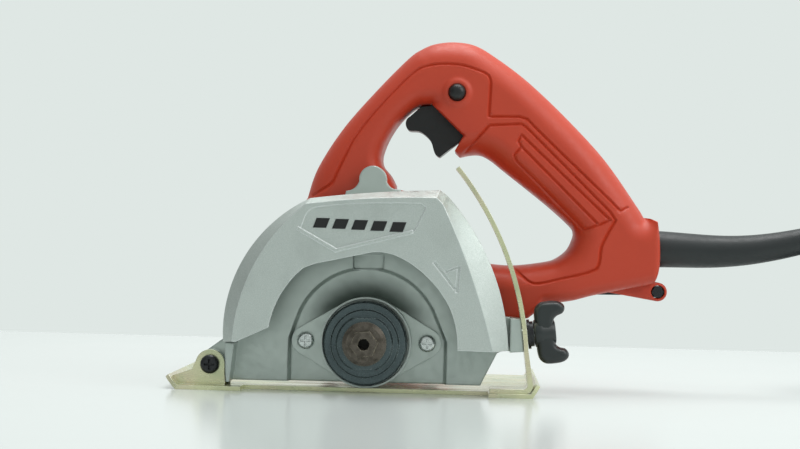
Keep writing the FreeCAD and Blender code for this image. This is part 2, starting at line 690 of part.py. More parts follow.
def motor_housing():
    """The moulded motor case with bosses for its screws, and its rear cover with air slots."""
    length = "motor_back - cover_back"
    outside = cylinder("motor_outside", "motor_radius", length, lift(MOTOR, "cover_back"))
    inside = cylinder("motor_inside", "motor_radius - motor_wall", length, lift(MOTOR, "cover_back"))
    bosses, threads, screws = [], [], []
    for k, angle in enumerate((205, 235, 305, 335)):
        dx = 42.2 * math.cos(math.radians(angle))
        dz = 42.2 * math.sin(math.radians(angle))
        where = (f"motor_x + {dx:.4f}", "cover_back", f"motor_z + {dz:.4f}")
        bosses.append(cylinder(f"motor_boss_{k}", 5.2, 16, where))
        threads.append(cylinder(f"motor_thread_{k}", 2.0, 17, lift(where, "cover_back")))
        head = cylinder(f"motor_screw_head_{k}", 3.6, 3, lift(where, "cover_back + 16"))
        shank = cylinder(f"motor_screw_shank_{k}", 1.98, 16, lift(where, "cover_back"))
        screws.append(fuse(f"motor_screw_{k}", head, shank))
    ribs = [sector(f"motor_rib_{k}", 39.4, 37.0, 2.2, 20 + 20 * k, "cover_back + 30", "40")
            for k in range(8)]
    holders = [cylinder(f"holder_bore_{side + 1}", 7.0, 8,
                        (f"motor_x + {side} * 36 - 4", 121, "motor_z"), "x") for side in (-1, 1)]
    solid = fuse("motor_solid", outside, *bosses, *ribs)
    node("motor_housing", cut("motor_housing", solid, inside, *threads, *holders))
    node("motor_screws", group("motor_screws", *screws))

    cover = turned(
        "rear_cover_turned",
        [(9.5, 130.4), (12.6, 130.4), (12.6, 141.6), (33.6, 139.4), (35.0, 136), (35.0, 130), (38.0, 130),
         (38.0, 137), ("arc", (36.4, 143.2), (30.5, 146.0)), (14.0, 148.0), (0, 148.0), (0, 142.2),
         (9.5, 142.2)],
        MOTOR)
    vents = [box(f"vent_{k}", (12, 20, 2.4), ("motor_x", 138, "motor_z"), Rotation(Vector(0, 1, 0), -20 * k))
             for k in range(18)]
    for k, vent in enumerate(vents):
        angle = math.radians(20 * k)
        bind(vent, "Placement.Base.x", f"motor_x + {18 * math.cos(angle):.4f}")
        bind(vent, "Placement.Base.z", f"motor_z + {18 * math.sin(angle):.4f}")
    node("motor_rear_cover", cut("motor_rear_cover", cover, *vents))


def brushes():
    holders, carbons, springs, caps = [], [], [], []
    for side in (-1, 1):
        tag = side + 1
        low = lambda near, length: f"motor_x + {near if side > 0 else -near - length}"
        tube = cylinder(f"holder_tube_{tag}", 6.9, 20, (low(14.5, 20), 121, "motor_z"), "x")
        channel = box(f"holder_channel_{tag}", (30, 6.4, 5.2), (low(10, 30), 117.8, "motor_z - 2.6"))
        holders.append(cut(f"brush_holder_{tag}", tube, channel))
        carbons.append(box(f"brush_{tag}", (11, 6.2, 5.0), (low(11.1, 11), 117.9, "motor_z - 2.5")))
        springs.append(cylinder(f"spring_{tag}", 2.3, 12, (low(22.3, 12), 121, "motor_z"), "x"))
        rim = cylinder(f"cap_rim_{tag}", 6.9, 4.5, (low(34.6, 4.5), 121, "motor_z"), "x")
        slot = box(f"cap_slot_{tag}", (1.5, 20, 1.4), (low(37.8, 1.5), 111, "motor_z - 0.7"))
        caps.append(cut(f"brush_cap_{tag}", rim, slot))
    node("brush_holders", group("brush_holders", *holders))
    node("carbon_brushes", group("carbon_brushes", *carbons))
    node("brush_springs", group("brush_springs", *springs))
    node("brush_caps", group("brush_caps", *caps))


# ---------------------------------------------------------------- sole, hinge and depth guide
PIVOT = (DIMS["pivot_x"], DIMS["pivot_z"])
GUIDE_TOP, GUIDE_BEND, SLOT_LOW, SLOT_HIGH = 39.7, 4.0, 4.9, 36.8


def sole():
    """The zinc-plated sole with upturned ends, its notch for the blade and the two hinge ears."""
    thick = size("sole_thick")
    strip_of_steel = pad_y(
        "sole_strip",
        outline((-86, 0), (76.6, 0), (80.0, 5.4), (78.4, 6.5), (75.6, thick), (-85.2, thick), (-89.5, 6.6),
                (-91.0, 5.4)),
        "sole_front", "sole_back - sole_front")
    plan = pad_z(
        "sole_plan",
        outline((-91.5, 3), ("arc", (-89.4, -1.2), (-84.5, -3)), (-56.3, -3), (-56.3, 8), (56.5, 8),
                (56.5, -3), (76, -3), ("arc", (79.6, -1.5), (81, 2)), (81, 107),
                ("arc", (78.7, 112.7), (73, 115)), (-83, 115), ("arc", (-89, 112.5), (-91.5, 107))),
        "-1", "10")
    near = pad_y(
        "near_ear_plate",
        outline((-88.6, 1.0), (-89.2, 5.4), (-79.4, 8.9), polar(PIVOT, 6.7, 165),
                ("arc", polar(PIVOT, 6.7, 85), polar(PIVOT, 6.7, 3)), (-64.3, 1.0)),
        "near_ear", "ear_thick")
    far = pad_y(
        "far_ear_plate",
        outline((-79.8, 1.0), (-79.2, 8.9), polar(PIVOT, 6.7, 165),
                ("arc", polar(PIVOT, 6.7, 85), polar(PIVOT, 6.7, 3)), (-64.3, 1.0)),
        "far_ear", "ear_thick")
    bore = cylinder("ear_bore", "hinge_radius + running_gap", 60, ("pivot_x", 0, "pivot_z"))
    sheet_metal = common("sole_trimmed", strip_of_steel, plan)
    node("base_plate", cut("base_plate", fuse("sole_solid", sheet_metal, near, far), bore))


def hinge():
    node("hinge_screw", pan_head("hinge_screw", ("pivot_x", "near_ear", "pivot_z"), 4.35, 3.2,
                                 size("hinge_radius"), 27))
    nut = pad_y("hinge_nut_body", hexagon(10, PIVOT, 12), "far_ear + ear_thick", "4.5")
    bore = cylinder("hinge_nut_bore", "hinge_radius + 0.01", 60, ("pivot_x", 0, "pivot_z"))
    node("hinge_nut", cut("hinge_nut", nut, bore))


def depth_guide():
    """The flat bar bent on an arc about the hinge, with its slot and its foot on the sole."""
    inside = size("guide_radius")
    outside = inside + size("guide_thick")
    bar = pad_y(
        "guide_bar",
        outline(polar(PIVOT, inside, GUIDE_TOP),
                ("arc", polar(PIVOT, inside, 20), polar(PIVOT, inside, GUIDE_BEND)),
                (74.2, 6.6), ("arc", (73.5, 4.7), (71.6, 4.0)), (57, 4.0), (57, 2.0), (72.8, 2.0),
                ("arc", (75.7, 3.2), (76.7, 6.2)), polar(PIVOT, outside, GUIDE_BEND),
                ("arc", polar(PIVOT, outside, 20), polar(PIVOT, outside, GUIDE_TOP))),
        "guide_near", "guide_width")
    slot = pad_y(
        "guide_slot",
        outline(polar(PIVOT, inside - 4, SLOT_LOW),
                ("arc", polar(PIVOT, inside - 4, 20), polar(PIVOT, inside - 4, SLOT_HIGH)),
                polar(PIVOT, outside + 4, SLOT_HIGH),
                ("arc", polar(PIVOT, outside + 4, 20), polar(PIVOT, outside + 4, SLOT_LOW))),
        "clamp_y - slot_width / 2", "slot_width")
    node("depth_guide", cut("depth_guide", bar, slot))


CLAMP_TURN = Rotation(Vector(0, 1, 0), 90 - DIMS["clamp_angle"])


def on_clamp(reach, across=0.0):
    """A point in X and Z on the clamp bolt's axis, reach from the guide's outer face."""
    along = polar(PIVOT, size("guide_radius") + size("guide_thick") + reach, size("clamp_angle"))
    angle = math.radians(size("clamp_angle"))
    return (along[0] - across * math.sin(angle), along[1] + across * math.cos(angle))


def clamp():
    """The wing bolt that clamps the saw to the guide, with its two washers."""
    def disc(name, radius, reach, length):
        x, z = on_clamp(reach)
        return cylinder(name, radius, length, (x, "clamp_y", z), rotation=CLAMP_TURN)

    plain = cut("plain_washer", disc("plain_washer_disc", 6.75, 0.3, 1.2),
                disc("plain_washer_bore", 3.25, 0, 3))
    sprung = cut("spring_washer", disc("spring_washer_disc", 5.75, 1.5, 1.6),
                 disc("spring_washer_bore", 3.25, 1, 3))
    node("clamp_washers", group("clamp_washers", plain, sprung))
    node("wing_bolt_stud", disc("wing_bolt_stud", "stud_radius", -7.6, 18.6))
    wing = ((3.5, 6.5), (4.2, 9.6), (6.2, 12.9), (9.2, 14.3), (14.6, 14.2), (18.3, 12.2), (17.6, 8.4),
            (13.4, 7.0))
    upper = [on_clamp(reach, across) for reach, across in wing]
    lower = [on_clamp(reach, -across) for reach, across in wing]
    wings = pad_y(
        "wing_shape",
        outline(lower[0], upper[0], ("curve", *upper[1:4]), upper[4], ("arc", upper[5], upper[6]),
                upper[7], lower[7], lower[6], ("arc", lower[5], lower[4]), lower[3],
                ("curve", lower[2], lower[1], lower[0])),
        "clamp_y - 5.5", "11")
    node("wing_bolt_knob", cut("wing_bolt_knob", wings, disc("knob_bore", "stud_radius", 2, 9)))


# ---------------------------------------------------------------- handle
EDGE_START, EDGE_END = (26.9, 134.6), (42.3, 119.9)
EDGE_LENGTH = math.dist(EDGE_START, EDGE_END)
ALONG_EDGE = ((EDGE_END[0] - EDGE_START[0]) / EDGE_LENGTH, (EDGE_END[1] - EDGE_START[1]) / EDGE_LENGTH)
INTO_GRIP = (-ALONG_EDGE[1], ALONG_EDGE[0])


def at_trigger(along, inward):
    """A point in X and Z, measured along the trigger's slot and inwards, square to it."""
    return (EDGE_START[0] + along * ALONG_EDGE[0] + inward * INTO_GRIP[0],
            EDGE_START[1] + along * ALONG_EDGE[1] + inward * INTO_GRIP[1])


def handle_outline():
    motor = (size("motor_x"), size("motor_z"))
    saddle_in, saddle_out = 38.3, 43.0
    return outline(
        (-30.8, 89.0),
        ("curve", (-26.2, 103.2), (-14.9, 121.8), (0.2, 139.9), (15.2, 155.7), (21.9, 160.6),
         (28.3, 163.2), (37.1, 164.2), (46.4, 162.9), (55.6, 158.0), (71.9, 146.3), (91.1, 128.8),
         (109.0, 110.0), (124.1, 89.3), (127.9, 83.4)),
        (130.4, 83.0), (133.7, 81.7),
        ("curve", (134.8, 73.2), (135.1, 62.8), (134.2, 56.6), (132.3, 52.4)),
        ("curve", (118.2, 49.5), (104.0, 46.3), (94.6, 43.7), (82.8, 42.0)),
        (74.4, 35.2), (64.0, 34.0), polar(motor, saddle_out, 344), polar(motor, saddle_in, 344),
        ("arc", polar(motor, saddle_in, 85), polar(motor, saddle_in, 186)), polar(motor, saddle_out, 186),
        ("arc", polar(motor, saddle_out, 175), polar(motor, saddle_out, 160)), (-33.4, 76.0))


def handle_opening():
    motor = (size("motor_x"), size("motor_z"))
    return outline(
        (10.7, 96.0),
        ("curve", (8.2, 100.6), (4.6, 105.0), (3.9, 109.0), (5.0, 113.6), (7.8, 119.9), (11.9, 126.1),
         (16.6, 131.0), (21.2, 134.0), EDGE_START),
        EDGE_END, (38.4, 112.6), (40.8, 110.2),
        ("curve", (45.5, 111.3), (50.3, 111.4), (55.1, 109.2), (62.3, 103.7), (81.7, 88.9), (93.2, 79.0),
         (95.4, 75.5), (94.9, 72.2), (92.6, 67.4), (88.0, 63.5), (82.3, 61.4), (66.0, 59.3), (50.5, 60.5)),
        ("arc", polar(motor, 49.0, 50), (10.7, 96.0)))


def lug_outline():
    centre, radius = (size("lug_x") + 4.3, size("lug_z")), 4.4
    return outline(
        (108, 47.6), polar(centre, radius, 262),
        ("arc", polar(centre, radius, 0), polar(centre, radius, 84)), (128, 54.5), (110, 50.5))


def grip_box(name, low, high, near, deep):
    """A pocket square to the trigger's slot, between two (along, inward) corners."""
    corners = [at_trigger(*p) for p in (low, (high[0], low[1]), high, (low[0], high[1]))]
    return pad_y(name, outline(*corners), near, deep)


HANDLE_SCREWS = ((-13.0, 110.0), (16.0, 148.0), (82.0, 118.0), (108.0, 90.0), (78.0, 51.5), (127.5, 57.0))


def handle_half(name, start, depth, lug_start, lug_depth):
    """One half of the D handle, cut out for the trigger, the switch, the cord and the screws."""
    blank = pad_y(name + "_blank", handle_outline(), start, depth)
    lug = pad_y(name + "_lug", lug_outline(), lug_start, lug_depth)
    parts = [blank, lug]
    near_side = name == "handle_near_half"
    if near_side:
        parts.append(cylinder(name + "_boss", 5.8, 3, ("lock_x", "handle_near - 1.2", "lock_z")))
    centre = ("guard_x", "handle_mid", "guard_z")
    tools = [
        pad_y(name + "_opening", handle_opening(), "handle_near - 1", "42"),
        grip_box(name + "_pocket", (-4.0, -7.0), (22.1, 13.3), "handle_mid - trigger_width / 2 - 0.5",
                 "trigger_width + 1"),
        grip_box(name + "_switch_bay", (3.4, 13.2), (22.6, 29.6), "36.8", "14.8"),
        cylinder(name + "_guard_bay", 8.7, 10, ("guard_x - 6", "handle_mid", "guard_z"), "x"),
        cylinder(name + "_guard_groove", 10.5, 3.2, ("guard_x - 6.1", "handle_mid", "guard_z"), "x"),
        cylinder(name + "_cord_bay", 7.6, 26, ("guard_x - 31", "handle_mid", "guard_z"), "x"),
        cylinder(name + "_key_bore", 3.1, 60, ("lug_x + 4.3", 10, "lug_z")),
    ]
    if near_side:
        for label, radius, length, start in (("button", "lock_radius + 0.1", 6, "handle_near - 2"),
                                             ("flange", 5.4, 8.9, "handle_near + 2.4"),
                                             ("stem", 2.1, 4, "handle_near + 11")):
            tools.append(cylinder(f"{name}_lock_{label}", radius, length, ("lock_x", start, "lock_z")))
    for k, (x, z) in enumerate(HANDLE_SCREWS):
        tools.append(cylinder(f"{name}_screw_bore_{k}", 2.0, 29, (x, "handle_far - 34", z)))
        if not near_side:
            tools.append(cylinder(f"{name}_screw_bay_{k}", 4.2, 8, (x, "handle_far - 6", z)))
    node(name, cut(name, fuse(name + "_solid", *parts), *tools))


def handle():
    handle_half("handle_near_half", "handle_near", "handle_mid - handle_near", "handle_mid - 8", "8")
    handle_half("handle_far_half", "handle_mid", "handle_far - handle_mid", "handle_mid", "8")
    screws = []
    for k, (x, z) in enumerate(HANDLE_SCREWS):
        head = cylinder(f"handle_screw_head_{k}", 3.8, 2.6, (x, "handle_far - 6", z))
        shank = cylinder(f"handle_screw_shank_{k}", 1.98, 27, (x, "handle_far - 33", z))
        bar = box(f"handle_screw_bar_{k}", (4.6, 2, 0.9), (x - 2.3, "handle_far - 4.9", z - 0.45))
        post = box(f"handle_screw_post_{k}", (0.9, 2, 4.6), (x - 0.45, "handle_far - 4.9", z - 2.3))
        screws.append(cut(f"handle_screw_{k}", fuse(f"handle_screw_solid_{k}", head, shank), bar, post))
    node("handle_screws", group("handle_screws", *screws))


# in the trigger's back, where the lock button's stem lies while the trigger is held in
LOCK_NOTCH = ((8.4, 4.5), (7.4, 3.2), (3.1, 3.2), (2.1, 4.5))


def trigger():
    """The trigger, its return spring and the switch it works, square to the slot."""
    edge = [at_trigger(*p) for p in (
        (-2.9, -4.4), (-3.3, -11.2), (-1.7, -15.6), (0.4, -16.3), (4.1, -13.6), (7.9, -12.4), (12.8, -12.9),
        (18.0, -15.4), (20.3, -14.9), (21.6, -3.4), (21.2, 4.5), *LOCK_NOTCH, (0.2, 4.5), (0.0, -0.8))]
    node("trigger", pad_y("trigger", outline(edge[0], edge[1], ("curve", *edge[2:9]), *edge[9:]),
                          "handle_mid - trigger_width / 2", "trigger_width"))
    tilt = Rotation(Vector(0, 0, 1), Vector(INTO_GRIP[0], 0, INTO_GRIP[1]))
    x, z = at_trigger(14.0, 4.6)
    node("trigger_spring", cut(
        "trigger_spring",
        cylinder("trigger_spring_outside", 3.2, 8.5, (x, "handle_mid", z), rotation=tilt),
        cylinder("trigger_spring_inside", 2.3, 8.5, (x, "handle_mid", z), rotation=tilt)))
    node("switch_body", grip_box("switch_body", (3.8, 13.4), (22.2, 29.2), "37.2", "14"))


def lock_button():
    """The lock-on button with its flange and stem, and the spring that pushes it out."""
    at = ("lock_x", "handle_near", "lock_z")
    node("lock_button", turned(
        "lock_button",
        [(0, -4.1), ("arc", (2.4, -3.7), (3.9, -2.0)), (3.9, 2.6), (5.2, 2.6), (5.2, 3.8), (1.9, 3.8),
         (1.9, 11.4), (0, 11.4)], at))
    coil = turned("lock_spring", [(2.6, 3.9), (4.6, 3.9), (4.6, 11.2), (2.6, 11.2)], at)
    node("lock_button_spring", coil)


# ---------------------------------------------------------------- cord
GUARD_END = (214.0, 42.0, 77.0)
GUARD_SLOPE = 15.0
CORD_ROUTE = [
    GUARD_END, (229.0, 42.0, 81.0), (245.5, 40.5, 81.5), (261.0, 39.0, 76.0), (275.5, 39.5, 66.0),
    (288.5, 43.0, 55.0), (299.0, 51.0, 44.6), (305.9, 61.8, 36.6), (308.8, 74.0, 32.0), (307.7, 86.1, 29.5),
]
TAIL_ROUTE = [
    (315.9, 68.7, 5.0), (316.6, 84.0, 4.6), (313.5, 99.0, 4.4), (306.5, 112.5, 5.4), (296.5, 124.5, 7.0),
]


def tube_along(name, points, radius):
    """A cord's tube: straight runs joined by tangent arcs, each as large as its two runs allow."""
    route = [Vector(*p) for p in points]
    edges, here, radii = [], route[0], []
    for before, corner, after in zip(route, route[1:], route[2:]):
        back, ahead = before - corner, after - corner
        turn = math.pi - back.getAngle(ahead)
        reach = 0.45 * min(back.Length, ahead.Length)
        radii.append(reach / math.tan(turn / 2))
        back.normalize()
        ahead.normalize()
        start, end = corner + back * reach, corner + ahead * reach
        inward = (back + ahead).normalize()
        centre_reach = math.hypot(radii[-1], reach)
        middle = corner + inward * (centre_reach - radii[-1])
        edges.append(Part.LineSegment(here, start).toShape())
        edges.append(Part.Arc(start, middle, end).toShape())
        here = end
    edges.append(Part.LineSegment(here, route[-1]).toShape())
    path = Part.Wire(edges)
    first = route[1] - route[0]
    section = Part.Wire(Part.makeCircle(radius, route[0], first))
    tube = path.makePipeShell([section], True, True)
    print(name, "radii", [round(r, 1) for r in radii], "length", round(path.Length, 1),
          "volume ratio", round(tube.Volume / (math.pi * radius**2 * path.Length), 4))
    return feature(name, tube)


def cord_guard():
    """The moulded rubber guard: a flange held in the handle and a tapering, drooping sleeve."""
    stations = [
        (136.6, 68.8, 8.6, 0), (150.0, 68.5, 8.15, -1), (163.0, 68.4, 7.65, 1), (176.0, 69.2, 7.1, 6),
        (189.0, 71.1, 6.6, 10), (202.0, 73.9, 6.15, 13), (GUARD_END[0], GUARD_END[2], 5.7, GUARD_SLOPE),
    ]
    rings = []
    for x, z, radius, slope in stations:
        lean = math.radians(slope)
        ahead = Vector(math.cos(lean), 0, math.sin(lean))
        rings.append(Part.Wire(Part.makeCircle(radius, Vector(x, size("handle_mid"), z), ahead)))
    sleeve = feature("guard_sleeve", Part.makeLoft(rings, True, False))
    root = cylinder("guard_root", 8.6, "136.6 - guard_x + 6", ("guard_x - 6", "handle_mid", "guard_z"), "x")
    flange = cylinder("guard_flange", 10.3, 3, ("guard_x - 6", "handle_mid", "guard_z"), "x")
    node("cord_guard", fuse("cord_guard", sleeve, root, flange))
    node("cord_inner_end", cylinder("cord_inner_end", "cord_radius", 24,
                                    ("guard_x - 30", "handle_mid", "guard_z"), "x"))
    saddle = cut(
        "clamp_saddle",
        box("clamp_block", (8, 9.6, 2.6),
            ("guard_x - 22", "handle_mid - 4.8", "guard_z + cord_radius - 1.2")),
        cylinder("clamp_channel", "cord_radius", 10, ("guard_x - 23", "handle_mid", "guard_z"), "x"))
    node("cord_clamp", saddle)


def free_cord():
    """The free cord: its run from the guard, the stored coil, its tie, and the tail to the plug."""
    node("cord_lead", tube_along("cord_lead", CORD_ROUTE, size("cord_radius")))
    at = ("coil_x", "coil_y", "1")
    node("cord_coil", ring("cord_coil", "coil_mean + 8", "coil_mean - 8", 24, at, "z"))
    outer = box("tie_outside", (18, 8, 26), ("coil_x - coil_mean - 9", "coil_y - 4", "0"))
    inner = box("tie_inside", (16, 10, 24), ("coil_x - coil_mean - 8", "coil_y - 5", "1"))
    tie = cut("tie_loop", outer, inner)
    keep_out = ring("tie_keep_out", "coil_mean + 8", "coil_mean - 8", 24, at, "z")
    node("cord_tie", cut("cord_tie", tie, keep_out))
    node("cord_tail", tube_along("cord_tail", TAIL_ROUTE, size("cord_radius")))


def plug():
    """The two-pin mains plug lying beside the coil, pins away from the cord."""
    end, before = TAIL_ROUTE[-1], TAIL_ROUTE[-2]
    heading = math.degrees(math.atan2(end[1] - before[1], end[0] - before[0]))
    place_at = Placement(Vector(end[0], end[1], 7.0), Rotation(Vector(0, 0, 1), heading))
    width, height, length = 35.0, 14.0, 34.0
    front = Part.makeBox(12, width, height, Vector(length - 12, -width / 2, -height / 2))
    front = front.makeFillet(2.5, [e for e in front.Edges if e.BoundBox.XLength > 10])
    rear = Part.makeCircle(6.0, Vector(0, 0, 0), Vector(1, 0, 0))
    throat = Part.Ellipse(Vector(0, 0, 0), 16.0, 6.6).toShape()
    throat.rotate(Vector(), Vector(0, 1, 0), 90)
    throat.rotate(Vector(), Vector(1, 0, 0), 90)
    throat.translate(Vector(length - 12, 0, 0))
    neck = Part.makeLoft([Part.Wire(rear), Part.Wire(throat)], True, True)
    body = front.fuse(neck).removeSplitter()
    shell = feature("plug_body", body)
    shell.Placement = place_at
    node("plug_body", shell)
    pins = []
    for side in (-1, 1):
        pin = Part.makeCylinder(2.4, 19, Vector(length, side * 9.5, 0), Vector(1, 0, 0))
        tip = [e for e in pin.Edges if e.BoundBox.XMin > length + 18.5]
        pins.append(pin.makeFillet(1.2, tip))
    pair = feature("plug_pins", Part.makeCompound(pins))
    pair.Placement = place_at
    node("plug_pins", pair)


def hex_wrench():
    """The stored hexagon key: its short leg in the rear lug, its long leg along the far side."""
    x, z, far = size("lug_x") + 4.3, size("lug_z"), 66.0
    bend = 7.0
    corner = Vector(x, far, z)
    first, last = Vector(x, 34.0, z), Vector(58.0, far, z - 1.0)
    ahead = (last - corner).normalize()
    start, end = corner - Vector(0, bend, 0), corner + ahead * bend
    middle = corner + (ahead - Vector(0, 1, 0)).normalize() * (bend * (math.sqrt(2) - 1))
    path = Part.Wire([Part.LineSegment(first, start).toShape(), Part.Arc(start, middle, end).toShape(),
                      Part.LineSegment(end, last).toShape()])
    around = [polar((x, z), 5.0 / math.sqrt(3), 60 * k) for k in range(6)]
    corners = [Vector(p[0], first.y, p[1]) for p in around]
    section = Part.makePolygon(corners + corners[:1])
    node("hex_wrench", feature("hex_wrench", path.makePipeShell([section], True, True)))


# ---------------------------------------------------------------- build, test and write
blade_case()
gear_housing()
gear_housing_cover()
bearing_retainer()
spindle_group()
bearings()
armature_group()
stator()
motor_housing()
brushes()
sole()
hinge()
depth_guide()
clamp()
handle()
trigger()
lock_button()
cord_guard()
free_cord()
plug()
hex_wrench()
doc.recompute()

faults = [f"{obj.Label}: {obj.State}" for obj in doc.Objects if {"Invalid", "Error"} & set(obj.State)]
for name, obj in nodes.items():
    shape = obj.Shape
    if shape.isNull() or not shape.isValid() or not shape.Solids:
        faults.append(f"{name}: no valid solid")
if faults:
    raise SystemExit("\n".join(faults))

os.makedirs("parts", exist_ok=True)
for name, obj in nodes.items():
    obj.Shape.exportStep(f"parts/{name}.step")
print(len(nodes), "nodes written")
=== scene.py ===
import json
import math

import bpy
import numpy as np
from mathutils import Matrix, Vector
from mathutils.geometry import delaunay_2d_cdt
from mathutils.kdtree import KDTree


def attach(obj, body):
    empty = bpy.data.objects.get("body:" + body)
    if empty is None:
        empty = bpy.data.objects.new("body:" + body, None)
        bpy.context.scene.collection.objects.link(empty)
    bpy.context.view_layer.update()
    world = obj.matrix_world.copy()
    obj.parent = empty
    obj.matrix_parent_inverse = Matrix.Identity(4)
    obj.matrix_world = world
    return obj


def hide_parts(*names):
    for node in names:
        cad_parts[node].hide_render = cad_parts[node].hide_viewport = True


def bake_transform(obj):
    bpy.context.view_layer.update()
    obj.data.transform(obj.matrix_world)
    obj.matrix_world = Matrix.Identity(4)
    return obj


# A hand-held slab saw in the CAD's frame: +X to the cord, +Y to the motor, +Z up.
# Materials, lights and the camera are in metres. Shapes are in millimetres, times MM at the end.
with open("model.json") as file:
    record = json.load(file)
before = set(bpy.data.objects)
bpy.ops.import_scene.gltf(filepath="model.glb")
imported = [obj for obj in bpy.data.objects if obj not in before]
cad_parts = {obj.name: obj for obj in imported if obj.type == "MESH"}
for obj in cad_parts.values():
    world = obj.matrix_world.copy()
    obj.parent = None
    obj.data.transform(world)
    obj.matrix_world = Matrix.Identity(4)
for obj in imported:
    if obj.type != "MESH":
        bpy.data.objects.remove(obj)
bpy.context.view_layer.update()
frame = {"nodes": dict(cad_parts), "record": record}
nodes = frame["nodes"]
MM = 0.001
scene = bpy.context.scene

# ------------------------------------------------------------------ camera
LENS, SENSOR = 85.0, 36.0
EYE = (0.0474, -0.858, 0.0734)
YAW, PITCH, ROLL = 2.19, 0.265, 1.4
camera = bpy.data.objects.new("camera", bpy.data.cameras.new("camera"))
camera.data.lens = LENS
camera.data.sensor_width = SENSOR
camera.data.clip_start = 0.02
turn = (
    Matrix.Rotation(math.radians(YAW), 4, "Z")
    @ Matrix.Rotation(math.radians(90 + PITCH), 4, "X")
    @ Matrix.Rotation(math.radians(ROLL), 4, "Z")
)
camera.matrix_world = Matrix.Translation(EYE) @ turn
scene.collection.objects.link(camera)
scene.camera = camera
scene.view_settings.view_transform = "Standard"


# ------------------------------------------------------------------ node materials
def linear(red, green, blue):
    """A colour from its 0-255 screen values."""

    def one(value):
        value /= 255
        return value / 12.92 if value <= 0.04045 else ((value + 0.055) / 1.055) ** 2.4

    return (one(red), one(green), one(blue), 1.0)


# how far the rounded normal turns from the flat one where the painted edge highlight and wear start, and
# where they are full
EDGE_HIGHLIGHT_TURN = (0.02, 0.16)


